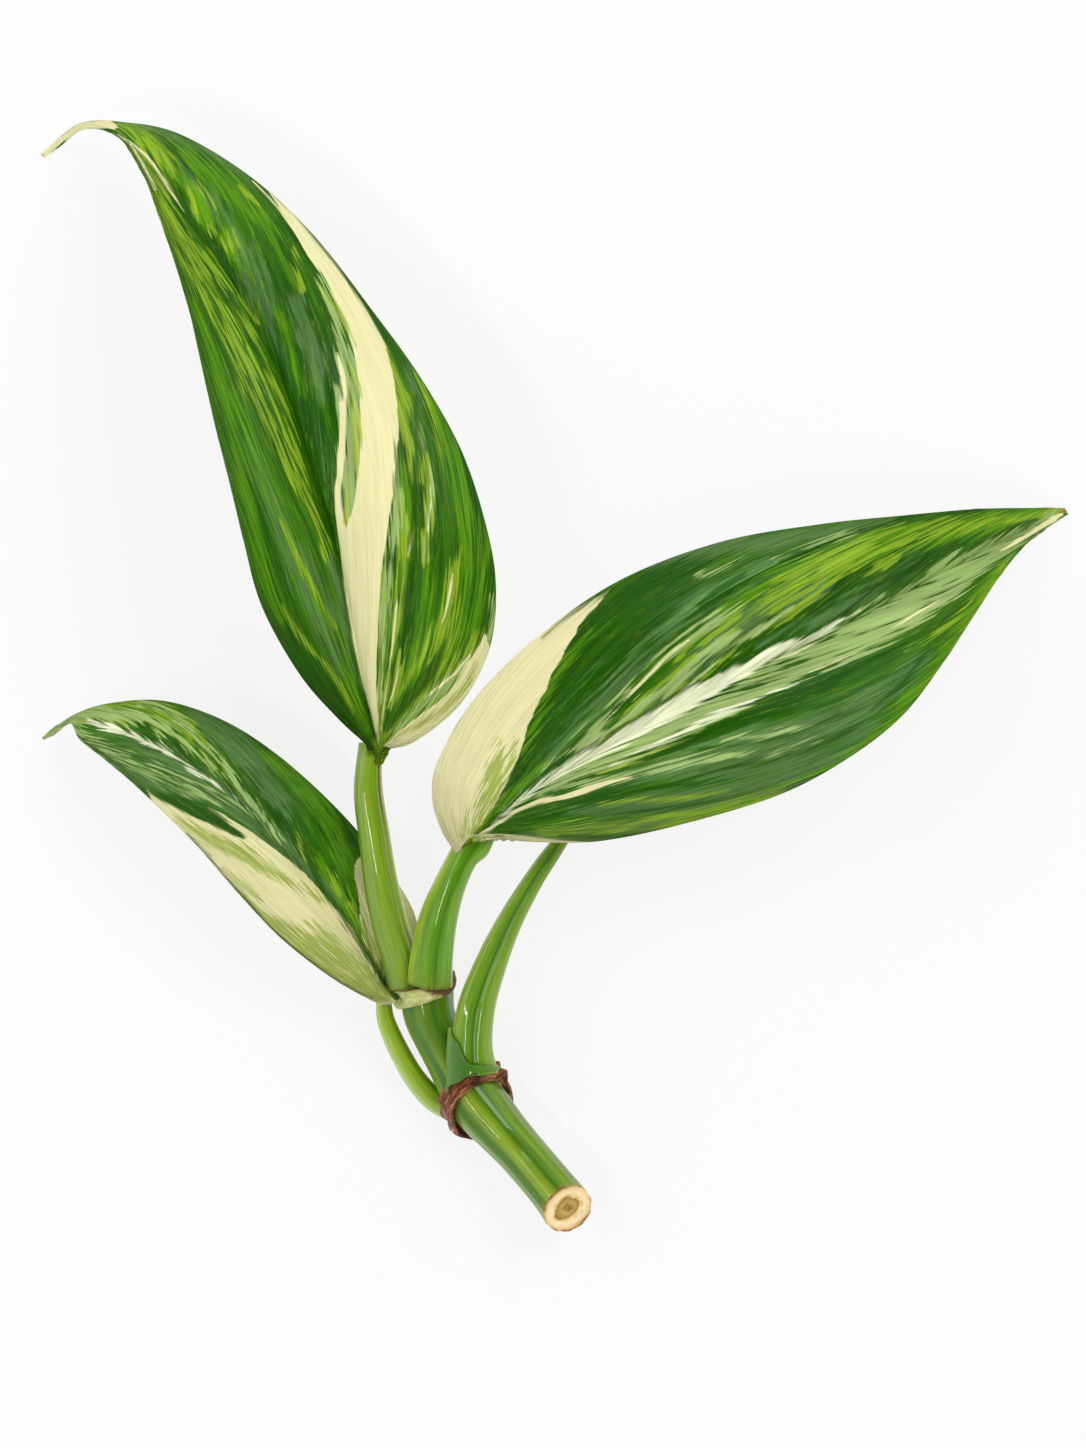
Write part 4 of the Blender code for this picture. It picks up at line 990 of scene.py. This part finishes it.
def leaf_material(colours):
    """Living leaf: waxy green, with pale variegation that runs in streaks along fine veins."""
    material, node = plain_material("variegated_leaf", LEAF_ROUGHNESS[0], LEAF_SPECULAR)
    veins = node("ShaderNodeUVMap", uv_map="veins")[0]
    grain = {}
    for number, (name, (width, length, detail)) in enumerate(LEAF_GRAIN.items()):
        scale = (1 / (width * VEINS_PER_MM), 1 / (length * BLADES_PER_MM), 1)
        shift = (*(step * number for step in GRAIN_SHIFT), 0)
        place = node("ShaderNodeMapping", {"Vector": veins, "Scale": scale, "Location": shift})[0]
        cells = node(NOISE, {"Vector": place, "Scale": 1, "Detail": detail}, noise_dimensions="2D")
        grain[name] = node("ShaderNodeSeparateColor", (cells["Color"],))
    broad, coarse, fine, hairs = grain.values()

    # Green between the veins, darker and lighter in turn.
    tone = node(MATH, (coarse[0], broad[0]), operation="ADD")[0]
    tone = node(SPAN, (tone, *LEAF_TONE))[0]
    greens = {0: tone, 6: linear(colours.deep), 7: linear(colours.middle)}
    green = node(MIX, greens, data_type="RGBA")[2]

    # Each layer of marks covers what lies under it, out to an edge that the veins tear.
    for number, (name, layer) in enumerate(LEAF_LAYERS.items()):
        colour, counts, torn, frayed, softness, cover = layer
        edge = node("ShaderNodeAttribute", attribute_name=name)["Fac"]
        edge = node(MATH, (edge, counts), operation="MINIMUM")[0]
        for cells, amount in ((coarse[number % 3], torn), (fine[(number + 1) % 3], frayed)):
            edge = shifted(node, edge, cells, amount)
        span = (edge, -softness, softness, 0.0, cover)
        mask = node(SPAN, span, interpolation_type="SMOOTHSTEP")[0]
        shade = linear(getattr(colours, colour))
        green = node(MIX, {0: mask, 6: green, 7: shade}, data_type="RGBA")[2]

    # Fibres lighten and darken the green parts more than the cream ones, and thin pale veins run
    # over them.
    cream = node("ShaderNodeAttribute", attribute_name="cream")["Fac"]
    strength = node(SPAN, (cream, -CREAM_EDGE, CREAM_EDGE, 1.0, CREAM_SHARE))[0]
    for cells in (coarse[1], hairs[1]):
        line = node(SPAN, (gap_from(node, cells, 0.5), 0.0, *VEIN_LINE, 0.0))[0]
        line = node(MATH, (line, strength), operation="MULTIPLY")[0]
        green = node(MIX, {0: line, 6: green, 7: linear(colours.lime)}, data_type="RGBA")[2]
    fibres = 0.0
    for name, channel, amount in LEAF_FIBRES:
        cells = grain[name][channel]
        fibres = node(MATH, (cells, amount, fibres), operation="MULTIPLY_ADD")[0]
    middle = sum(amount for *_, amount in LEAF_FIBRES) / 2
    fibres = node(MATH, (fibres, middle), operation="SUBTRACT")[0]
    value = node(MATH, (fibres, strength, 1.0), operation="MULTIPLY_ADD")[0]
    colour = node("ShaderNodeHueSaturation", {"Value": value, "Color": green})[0]

    relief = 0.0
    for name, amount in RELIEF_SHARES.items():
        relief = node(MATH, (grain[name][2], amount, relief), operation="MULTIPLY_ADD")[0]
    dress(material, colour, relief, LEAF_RELIEF)
    gloss = node(SPAN, (coarse[1], *ROUGHNESS_GRAIN, *LEAF_ROUGHNESS))[0]
    tree = material.node_tree
    tree.links.new(gloss, tree.nodes["Principled BSDF"].inputs["Roughness"])
    return material


def leaf_blade(name, rows, marks, folds, thickness, material):
    """Leaf blade with its veins, folds and variegation, and a rib below its midrib."""
    bm = bmesh.new()
    bmesh.ops.create_grid(bm, x_segments=BLADE_COLUMNS, y_segments=BLADE_ROWS, size=1)
    mesh = bpy.data.meshes.new(name)
    bm.to_mesh(mesh)
    bm.free()

    grid = np.zeros(3 * len(mesh.vertices))
    mesh.vertices.foreach_get("co", grid)
    grid = grid.reshape(-1, 3)
    s = grid[:, 0] * np.abs(grid[:, 0]) ** COLUMN_CROWDING
    t = (grid[:, 1] + 1) / 2
    points = blade_points(rows, s, t, *folds)
    mesh.vertices.foreach_set("co", (points * MM).ravel())

    corners = np.zeros(len(mesh.loops), int)
    mesh.loops.foreach_get("vertex_index", corners)
    right_side = np.repeat(s[corners].reshape(-1, 4).mean(axis=1) > 0, 4)
    uv = np.stack([vein_of(s, t)[corners] + OTHER_SIDE * right_side, t[corners]], axis=1)
    mesh.uv_layers.new(name="veins").data.foreach_set("uv", uv.ravel())
    for layer, depth in mark_depths(plan_places(points), marks).items():
        mesh.attributes.new(layer, "FLOAT", "POINT").data.foreach_set("value", depth)
    mesh.update()

    piece = finished(name, mesh, material)
    rib = spline([row[0] for row in rows], t)
    rib_share = (1 - t) ** RIB_TAPER * np.minimum(1.0, t / RIB_START)
    weights = rib_share * np.maximum(0, 1 - np.linalg.norm(points - rib, axis=1) / RIB_HALF_WIDTH)
    group = piece.vertex_groups.new(name="rib")
    for index in np.flatnonzero(weights > 0).tolist():
        group.add([index], weights[index], "REPLACE")
    thick = piece.modifiers.new("Thickness", "SOLIDIFY")
    thick.thickness = RIB_DEPTH * MM
    thick.offset = -1
    thick.vertex_group = "rib"
    thick.thickness_vertex_group = thickness / (RIB_DEPTH * MM)


# Stalks


def section_points(rows, angle, t, groove=NO_GROOVE, outward=0.0):
    """Points on a stalk's skin, or outward of it: angle 0 is its right side, a quarter its top."""
    here = spline(rows, t)
    ahead = spline(rows, t + TANGENT_STEP) - spline(rows, t - TANGENT_STEP)
    along = ahead[:, :3] / np.linalg.norm(ahead[:, :3], axis=1, keepdims=True)
    side = np.cross(along, UP)
    side /= np.linalg.norm(side, axis=1, keepdims=True)
    over = np.cross(side, along)
    width, height, wrap = here[:, 3], here[:, 4], here[:, 5]
    groove_angle, groove_depth, groove_spread = groove
    dent = 1 - groove_depth * bell(turn_between(angle, groove_angle), groove_spread)
    across = (dent * width + outward) * np.cos(angle)
    rise = (dent * height + outward) * np.sin(angle) - wrap * np.cos(angle) ** 2
    return here[:, :3] + across[:, None] * side + rise[:, None] * over


def grid_sheet(columns, rows):
    """Sheet as a bmesh whose UV map gives the share across it and up it, with both as arrays."""
    bm = bmesh.new()
    bmesh.ops.create_grid(bm, x_segments=columns, y_segments=rows, size=0.5)
    around = bm.loops.layers.uv.new("around")
    for face in bm.faces:
        for corner in face.loops:
            corner[around].uv = (corner.vert.co.x + 0.5, corner.vert.co.y + 0.5)
    shares = np.array([(vert.co.x + 0.5, vert.co.y + 0.5) for vert in bm.verts])
    return bm, shares[:, 0], shares[:, 1]


def placed(bm, points):
    """Move the vertices to the points, given in millimetres."""
    for vert, point in zip(bm.verts, points.tolist()):
        vert.co = Vector(point) * MM


def as_mesh(bm, name):
    """Turn a bmesh into a mesh and free it."""
    mesh = bpy.data.meshes.new(name)
    bm.to_mesh(mesh)
    bm.free()
    return mesh


def closed(bm):
    """Weld a tube's seam and fill its open ends."""
    bmesh.ops.remove_doubles(bm, verts=bm.verts, dist=WELD)
    ends = [edge for edge in bm.edges if edge.is_boundary]
    if ends:
        bmesh.ops.holes_fill(bm, edges=ends, sides=0)
    bmesh.ops.recalc_face_normals(bm, faces=bm.faces)
    return bm


def stalk_material(name, colours, tints=()):
    """Green plant skin: smooth and waxy, with pale and dark lines along it and the painted light
    and shade that its colour table holds.
    """
    material, node = plain_material(name, STALK_ROUGHNESS, STALK_SPECULAR)
    around = node("ShaderNodeUVMap", uv_map="around")[0]
    lines = []
    for width, length, detail in (SKIN_BANDS, SKIN_FIBRES):
        scale = (STALK_GIRTH / width, STALK_LENGTH / length, 1)
        place = node("ShaderNodeMapping", {"Vector": around, "Scale": scale})[0]
        cells = {"Vector": place, "Scale": 1, "Detail": detail}
        lines.append(node(NOISE, cells, noise_dimensions="2D")[0])
    bands, fibres = lines
    share, along, _ = node("ShaderNodeSeparateXYZ", (around,))

    # The bands wander round the stalk a little.
    wander = shifted(node, share, bands, BAND_WANDER)
    # The colours round the stalk come from its table, painted light and shade included.
    colour = node("ShaderNodeValToRGB", (wander,), stops=(*colours, (1.0, colours[0][1])))[0]
    for tint, middle, spread, start, end, cover in tints:
        beside = node(SPAN, (gap_from(node, wander, middle), spread, TINT_CORE * spread))[0]
        uneven = node(MATH, (fibres, TINT_FRAY, along), operation="MULTIPLY_ADD")[0]
        ahead = node(SPAN, (uneven, start, end, 0.0, cover))[0]
        mask = node(MATH, (beside, ahead), operation="MULTIPLY")[0]
        colour = node(MIX, {0: mask, 6: colour, 7: linear(tint)}, data_type="RGBA")[2]

    value = node(MATH, (fibres, *FIBRE_VALUE), operation="MULTIPLY_ADD")[0]
    colour = node("ShaderNodeHueSaturation", {"Value": value, "Color": colour})[0]
    relief = node(MATH, (bands, BAND_RELIEF, fibres), operation="MULTIPLY_ADD")[0]
    shader = material.node_tree.nodes["Principled BSDF"]
    for socket, setting in zip(("Coat Weight", "Coat Roughness"), STALK_COAT):
        shader.inputs[socket].default_value = setting
    return dress(material, colour, relief, SKIN_RELIEF)


def stalk(name, rows, groove, material):
    """Petiole or sheath with fine ridges along it."""
    bm, across, t = grid_sheet(STALK_SIDES, STALK_STEPS)
    angle = 2 * math.pi * across
    placed(bm, section_points(rows, angle, t, groove, ridges_at(angle, STALK_RIDGES)))
    finished(name, as_mesh(closed(bm), name), material)


def bud_scale(material):
    """Green flap that covers the foot of the new leaf's sheath and comes to a point at its left."""
    bm, across, up = grid_sheet(SCALE_COLUMNS, SCALE_ROWS)
    foot, top = (np.interp(across, SCALE_STEPS, ends) for ends in (SCALE_FOOT, SCALE_TOP))
    lift = SCALE_GAP + SCALE_THICKNESS + SCALE_CURL * up**2
    points = section_points(
        NEW_LEAF_SHEATH, between(SCALE_ANGLES, across), between((foot, top), up), outward=lift
    )
    placed(bm, points)
    bmesh.ops.reverse_faces(bm, faces=bm.faces)
    piece = finished("bud_scale", as_mesh(bm, "bud_scale"), material)
    thick = piece.modifiers.new("Thickness", "SOLIDIFY")
    thick.thickness = SCALE_THICKNESS * MM
    thick.offset = -1


def flesh_material():
    """Cut stem: brown dried rim, cream flesh in rings and a darker pith."""
    material, node = plain_material("cut_stem_flesh", roughness=0.6, specular=0.3)
    around = node("ShaderNodeUVMap", uv_map="around")[0]
    radius = node("ShaderNodeSeparateXYZ", (around,))[1]
    place = node("ShaderNodeTexCoord")["Object"]
    mottle = node(NOISE, {"Vector": place, "Scale": 1 / (FLESH_CELL * MM), "Detail": 4})[0]
    moved = shifted(node, radius, mottle, FLESH_SHIFT)
    colour = node("ShaderNodeValToRGB", (moved,), stops=FLESH_COLOURS)[0]
    value = node(MATH, (mottle, *FLESH_VALUE), operation="MULTIPLY_ADD")[0]
    colour = node("ShaderNodeHueSaturation", {"Value": value, "Color": colour})[0]
    return dress(material, colour, mottle, relief=0.2)


def stem_piece(skin, flesh):
    """Stem through both nodes, cut off slantwise at its lower end."""
    bm, across, t = grid_sheet(STALK_SIDES, STALK_STEPS)
    angle = 2 * math.pi * across
    placed(bm, section_points(STEM, angle, t, outward=ridges_at(angle, STEM_RIDGES)))
    bmesh.ops.remove_doubles(bm, verts=bm.verts, dist=WELD)
    cut_point = Vector(CUT_POINT) * MM
    facing = Vector(CUT_FACING).normalized()
    bmesh.ops.bisect_plane(
        bm,
        geom=bm.verts[:] + bm.edges[:] + bm.faces[:],
        plane_co=cut_point,
        plane_no=facing,
        clear_outer=True,
    )
    rims = [edge for edge in bm.edges if edge.is_boundary]
    cut = [
        edge
        for edge in rims
        if all(abs((vert.co - cut_point).dot(facing)) < 10 * WELD for vert in edge.verts)
    ]
    face = bmesh.ops.holes_fill(bm, edges=cut, sides=0)["faces"][0]
    bmesh.ops.holes_fill(bm, edges=[edge for edge in rims if edge not in cut], sides=0)
    bmesh.ops.recalc_face_normals(bm, faces=bm.faces)

    # The cut face is inset in rings, so that it can be dished and its colours follow its rim.
    middle = face.calc_center_median()
    reach = max((vert.co - middle).length for vert in face.verts)
    rings = [face]
    last = 1.0
    for share in CUT_RINGS:
        rings += bmesh.ops.inset_region(bm, faces=[face], thickness=0, depth=0)["faces"]
        for vert in face.verts:
            vert.co = middle + (vert.co - middle) * (share / last)
        last = share
    around = bm.loops.layers.uv["around"]
    for ring in rings:
        ring.material_index = 1
        for corner in ring.loops:
            corner[around].uv = (0.0, (corner.vert.co - middle).length / reach)
    for vert in {vert for ring in rings for vert in ring.verts}:
        radius = (vert.co - middle).length / reach
        if radius < CUT_RINGS[1]:
            dent = CUT_DISH * (1 - radius) + PITH_GROOVE * bell(radius - PITH_EDGE, PITH_SPREAD)
            vert.co -= facing * dent * MM
    piece = finished("stem", as_mesh(bm, "stem"), skin)
    piece.data.materials.append(flesh)
    piece.data.set_sharp_from_angle(angle=math.radians(SHARP_ANGLE))


def cork_material():
    """Dry corky scar: brown and wrinkled along the ring, with painted shade in the furrows of its
    wrinkles and a painted copper highlight on their ridges.
    """
    material, node = plain_material("dry_cork", roughness=0.34, specular=0.35)
    around = node("ShaderNodeUVMap", uv_map="around")[0]
    scale = (*(girth / size for girth, size in zip(CORK_GIRTHS, CORK_WRINKLE)), 1)
    place = node("ShaderNodeMapping", {"Vector": around, "Scale": scale})[0]
    settings = {"Vector": place, "Scale": 1, "Detail": 5, "Roughness": 0.62, "Distortion": 0.5}
    wrinkles = node(NOISE, settings)[0]
    colour = node("ShaderNodeValToRGB", (wrinkles,), stops=CORK_COLOURS)[0]
    return dress(material, colour, wrinkles, relief=0.6)


def collar_material():
    """Pale green collar that has dried to brown along its upper edge and on its knob."""
    material, node = plain_material("pale_collar", roughness=0.6, specular=0.15)
    around = node("ShaderNodeUVMap", uv_map="around")[0]
    scale = (*(girth / size for girth, size in zip(COLLAR_GIRTHS, COLLAR_WRINKLE)), 1)
    place = node("ShaderNodeMapping", {"Vector": around, "Scale": scale})[0]
    wrinkles = node(NOISE, {"Vector": place, "Scale": 1, "Detail": 4})[0]
    pale = node("ShaderNodeValToRGB", (wrinkles,), stops=COLLAR_COLOURS)[0]
    section, turn, _ = node("ShaderNodeSeparateXYZ", (around,))

    # A quarter of the way round its section is the collar's upper edge, and the knob is where its
    # turn round the stem starts and ends.
    edge = node(MATH, (section, 0.5, -0.5), operation="WRAP")[0]
    start, full, most = KNOB_BROWN
    knob = node(SPAN, (gap_from(node, turn, 0.5), start, full, 0.0, most))[0]
    edge = node(MATH, (edge, knob), operation="ADD")[0]
    edge = node(MATH, (wrinkles, COLLAR_EDGE_SHIFT, edge), operation="MULTIPLY_ADD")[0]
    start, full, most = COLLAR_EDGE
    brown = node(SPAN, (edge, start, full, 0.0, most))[0]
    dried = linear(COLLAR_EDGE_COLOUR)
    colour = node(MIX, {0: brown, 6: pale, 7: dried}, data_type="RGBA")[2]
    return dress(material, colour, wrinkles, relief=0.4)


def ring_shape(angle):
    """Place along the stem, half width and depth of the corky ring at each angle round the stem."""
    stubs = sum(
        height * bell(turn_between(angle, centre), ROOT_STUB_SPREAD)
        for centre, height in ROOT_STUBS
    )
    place = RING_PLACE + RING_SLANT * np.sin(angle) + ROOT_STUB_RISE * stubs
    half_width = between(RING_HALF_WIDTHS, left_share(angle)) + ROOT_STUB_WIDTH * stubs
    return place, half_width, RING_DEPTH + stubs


def collar_shape(angle):
    """Place along the stem, half width and depth of the collar at each angle round the stem."""
    deeper, wider, further = (share * bell(turn_between(angle, 0), KNOB_SPREAD) for share in KNOB)
    half_width = between(COLLAR_HALF_WIDTHS, left_share(angle)) + wider
    place = COLLAR_TOP - half_width + further + COLLAR_SETBACK * np.minimum(0, np.sin(angle))
    depth = COLLAR_DEPTH + COLLAR_FLARE * left_share(angle) ** 3 + deeper
    return place, half_width, depth


def node_band(name, material, shape, lumps, groove):
    """Band round the stem of the given shape, with lumps this high and a groove this deep."""
    bm, across, turn = grid_sheet(BAND_SIDES, BAND_STEPS)
    section, angle = 2 * math.pi * across, 2 * math.pi * turn
    circle = LUMP_RADIUS * np.stack([np.cos(angle), np.sin(angle)], axis=1)
    uneven = lumps * np.array(
        [
            sum(
                share * noise.noise(Vector((scale * x, scale * y, turns * math.sin(over) + seed)))
                for share, scale, turns, seed in LUMPS
            )
            for (x, y), over in zip(circle.tolist(), section.tolist())
        ]
    )
    middle, spread = BAND_GROOVE
    bulge = ((1 + np.cos(section)) / 2) ** BAND_BULGE
    bulge = bulge * (1 - groove * bell(np.sin(section) - middle, spread))
    place, half_width, depth = shape(angle)
    along = place + half_width * np.sin(section) + BAND_SWAY * uneven
    t = along / STEM_ROW_STEP / (len(STEM) - 1)
    points = section_points(STEM, angle, t, outward=CLEARANCE + (depth + uneven) * bulge)
    points[:, 2] = np.maximum(points[:, 2], 0)
    placed(bm, points)
    finished(name, as_mesh(closed(bm), name), material)


# Operators


def folds_setting(leaf, height):
    """Setting for the height of a leaf's fine folds."""
    return bpy.props.FloatProperty(
        name=f"{leaf} leaf folds",
        description=f"Height of the folds along the {leaf.lower()} leaf's veins, in millimetres",
        default=height,
    )


class CuttingSizes(bpy.types.PropertyGroup):
    """Sizes of the finer pieces."""

    blade_thickness: bpy.props.FloatProperty(
        name="Blade thickness",
        description="Thickness of the leaf blades away from the midrib",
        default=0.45 * MM,
        unit="LENGTH",
    )
    tall_folds: folds_setting("Tall", 0.10)
    right_folds: folds_setting("Right", 0.34)
    low_folds: folds_setting("Low", 0.16)


def colour_setting(name, description, colour):
    """Setting for a colour, as an sRGB hex value."""
    return bpy.props.StringProperty(name=name, description=description, default=colour)


class LeafColours(bpy.types.PropertyGroup):
    """Colours of the variegation, as sRGB hex values."""

    deep: colour_setting("Deep green", "Darkest green", "1B5000")
    middle: colour_setting("Middle green", "Common green", "397206")
    # Grey green: partly the leaf's own glaucous colour and partly painted sheen.
    grey_and_sheen: colour_setting("Grey green", "Glaucous green", "5A7D48")
    bright: colour_setting("Bright green", "Fresh green", "5C9406")
    lime: colour_setting("Lime", "Lime streaks", "8CAC26")
    sage: colour_setting("Sage", "Pale green bands", "9DB56E")
    cream: colour_setting("Cream", "Cream bands", "E9E4AC")
    white: colour_setting("White", "Whitish midribs", "E8EACB")
    wash: colour_setting("Wash", "Green over cream", "9DB042")
    dry: colour_setting("Dry tips", "Dried tips", "8A5C34")


class StageSettings(bpy.types.PropertyGroup):
    """Floor and light."""

    floor_size: bpy.props.FloatProperty(
        name="Floor size", description="Side of the square floor", default=6.0, unit="LENGTH"
    )
    sky: bpy.props.FloatProperty(
        name="Sky", description="Strength of the even light from all round", default=0.95
    )
    floor_glow: bpy.props.FloatProperty(
        name="Floor glow", description="Light that the floor gives off itself", default=0.81
    )
    key: bpy.props.FloatProperty(
        name="Key", description="Power of the main softbox", default=7.9, unit="POWER"
    )


class CUTTING_OT_leaf_blades(bpy.types.Operator):
    """Make the three leaf blades"""

    bl_idname = "cutting.leaf_blades"
    bl_label = "Leaf Blades"

    def execute(self, context):
        sizes = context.scene.cutting_sizes
        material = leaf_material(context.scene.cutting_leaf_colours)
        blades = (
            ("tall_leaf_blade", TALL_BLADE, TALL_MARKS, (sizes.tall_folds, TALL_CREASE)),
            ("right_leaf_blade", RIGHT_BLADE, RIGHT_MARKS, (sizes.right_folds, RIGHT_CREASE)),
            ("low_leaf_blade", LOW_BLADE, LOW_MARKS, (sizes.low_folds, LOW_CREASE)),
        )
        for name, rows, marks, folds in blades:
            leaf_blade(name, rows, marks, folds, sizes.blade_thickness, material)
        return {"FINISHED"}


class CUTTING_OT_petioles(bpy.types.Operator):
    """Make the petioles of the three leaves"""

    bl_idname = "cutting.petioles"
    bl_label = "Petioles"

    def execute(self, context):
        stalks = (
            ("tall_leaf_petiole", TALL_PETIOLE, TALL_PETIOLE_GROOVE, TALL_PETIOLE_COLOURS),
            ("right_leaf_petiole", RIGHT_PETIOLE, RIGHT_PETIOLE_GROOVE, RIGHT_PETIOLE_COLOURS),
            ("low_leaf_petiole", LOW_PETIOLE, NO_GROOVE, LOW_PETIOLE_COLOURS),
        )
        for name, rows, groove, colours in stalks:
            skin = stalk_material(name + "_skin", colours, STALK_TINTS.get(name, ()))
            stalk(name, rows, groove, skin)
        return {"FINISHED"}


class CUTTING_OT_new_leaf(bpy.types.Operator):
    """Make the sheath of the new leaf and the scale at its foot"""

    bl_idname = "cutting.new_leaf"
    bl_label = "New Leaf"

    def execute(self, context):
        skin = stalk_material("new_leaf_skin", SHEATH_COLOURS)
        stalk("new_leaf_sheath", NEW_LEAF_SHEATH, SHEATH_GROOVE, skin)
        bud_scale(stalk_material("bud_scale_skin", SCALE_COLOURS, STALK_TINTS["bud_scale"]))
        return {"FINISHED"}


class CUTTING_OT_stem(bpy.types.Operator):
    """Make the stem with its cut end"""

    bl_idname = "cutting.stem"
    bl_label = "Stem"

    def execute(self, context):
        skin = stalk_material("stem_skin", STEM_COLOURS, STALK_TINTS["stem"])
        stem_piece(skin, flesh_material())
        return {"FINISHED"}


class CUTTING_OT_nodes(bpy.types.Operator):
    """Make the corky ring and the pale collar"""

    bl_idname = "cutting.nodes"
    bl_label = "Ring and Collar"

    def execute(self, context):
        cork, pale = cork_material(), collar_material()
        node_band("lower_node_ring", cork, ring_shape, RING_LUMPS, RING_GROOVE)
        node_band("upper_node_collar", pale, collar_shape, COLLAR_LUMPS, groove=0.0)
        return {"FINISHED"}


class CUTTING_OT_stage(bpy.types.Operator):
    """Make the floor, the lights and the camera"""

    bl_idname = "cutting.stage"
    bl_label = "Stage"

    def execute(self, context):
        settings = context.scene.cutting_stage
        scene = context.scene
        bm = bmesh.new()
        bmesh.ops.create_grid(bm, x_segments=1, y_segments=1, size=settings.floor_size / 2)
        mesh = as_mesh(bm, "floor")
        floor = bpy.data.objects.new("floor", mesh)
        scene.collection.objects.link(floor)
        # White paper, lit from below as well, so that shadows on it stay faint.
        paper, _ = plain_material("white_paper_sweep", roughness=0.9, specular=0.1)
        shader = paper.node_tree.nodes["Principled BSDF"]
        shader.inputs["Base Color"].default_value = linear(PAPER_COLOUR)
        shader.inputs["Emission Color"].default_value = (1, 1, 1, 1)
        shader.inputs["Emission Strength"].default_value = settings.floor_glow
        mesh.materials.append(paper)

        # A sky that is bright at the walls and dim overhead, as in a light tent.
        world = bpy.data.worlds.new("studio")
        world.use_nodes = True
        sky = world.node_tree.nodes["Background"]
        node = functools.partial(add_node, world.node_tree)
        height = node("ShaderNodeSeparateXYZ", (node("ShaderNodeTexCoord")["Generated"],))[2]
        walls = node(SPAN, (height, *SKY_HEIGHTS, 1.0, SKY_ZENITH))[0]
        world.node_tree.links.new(walls, sky.inputs["Color"])
        sky.inputs["Strength"].default_value = settings.sky
        scene.world = world

        for name, place, (width, length), share in SOFTBOXES:
            lamp = bpy.data.lights.new(name, "AREA")
            lamp.shape = "RECTANGLE"
            lamp.size, lamp.size_y = width, length
            lamp.energy = share * settings.key
            box = bpy.data.objects.new(name, lamp)
            box.location = place
            box.rotation_euler = (-Vector(place)).to_track_quat("-Z", "Y").to_euler()
            scene.collection.objects.link(box)

        view = bpy.data.cameras.new("camera")
        view.sensor_fit = "VERTICAL"
        view.angle = 2 * math.atan(UNIT * PLAN_MIDDLE[1] / (CAMERA[2] - PLAN_HEIGHT))
        camera = bpy.data.objects.new("camera", view)
        camera.location = Vector(CAMERA) * MM
        scene.collection.objects.link(camera)
        scene.camera = camera
        scene.view_settings.view_transform = "Standard"
        return {"FINISHED"}


class CUTTING_PT_panel(bpy.types.Panel):
    """Lists the pieces of the cutting"""

    bl_idname = "CUTTING_PT_panel"
    bl_label = "Epipremnum Cutting"
    bl_space_type = "VIEW_3D"
    bl_region_type = "UI"
    bl_category = "Cutting"

    def draw(self, context):
        for piece in PIECES:
            self.layout.operator(piece.bl_idname)


GROUPS = {
    "cutting_sizes": CuttingSizes,
    "cutting_leaf_colours": LeafColours,
    "cutting_stage": StageSettings,
}
PIECES = (
    CUTTING_OT_leaf_blades,
    CUTTING_OT_petioles,
    CUTTING_OT_new_leaf,
    CUTTING_OT_stem,
    CUTTING_OT_nodes,
    CUTTING_OT_stage,
)
CLASSES = (*GROUPS.values(), *PIECES, CUTTING_PT_panel)


def register():
    for made in CLASSES:
        bpy.utils.register_class(made)
    for name, group in GROUPS.items():
        setattr(bpy.types.Scene, name, bpy.props.PointerProperty(type=group))


def unregister():
    for name in GROUPS:
        delattr(bpy.types.Scene, name)
    for made in reversed(CLASSES):
        bpy.utils.unregister_class(made)


def main():
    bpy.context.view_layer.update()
    register()
    for piece in PIECES:
        group, name = piece.bl_idname.split(".")
        getattr(getattr(bpy.ops, group), name)()


if __name__ == "__main__":
    main()
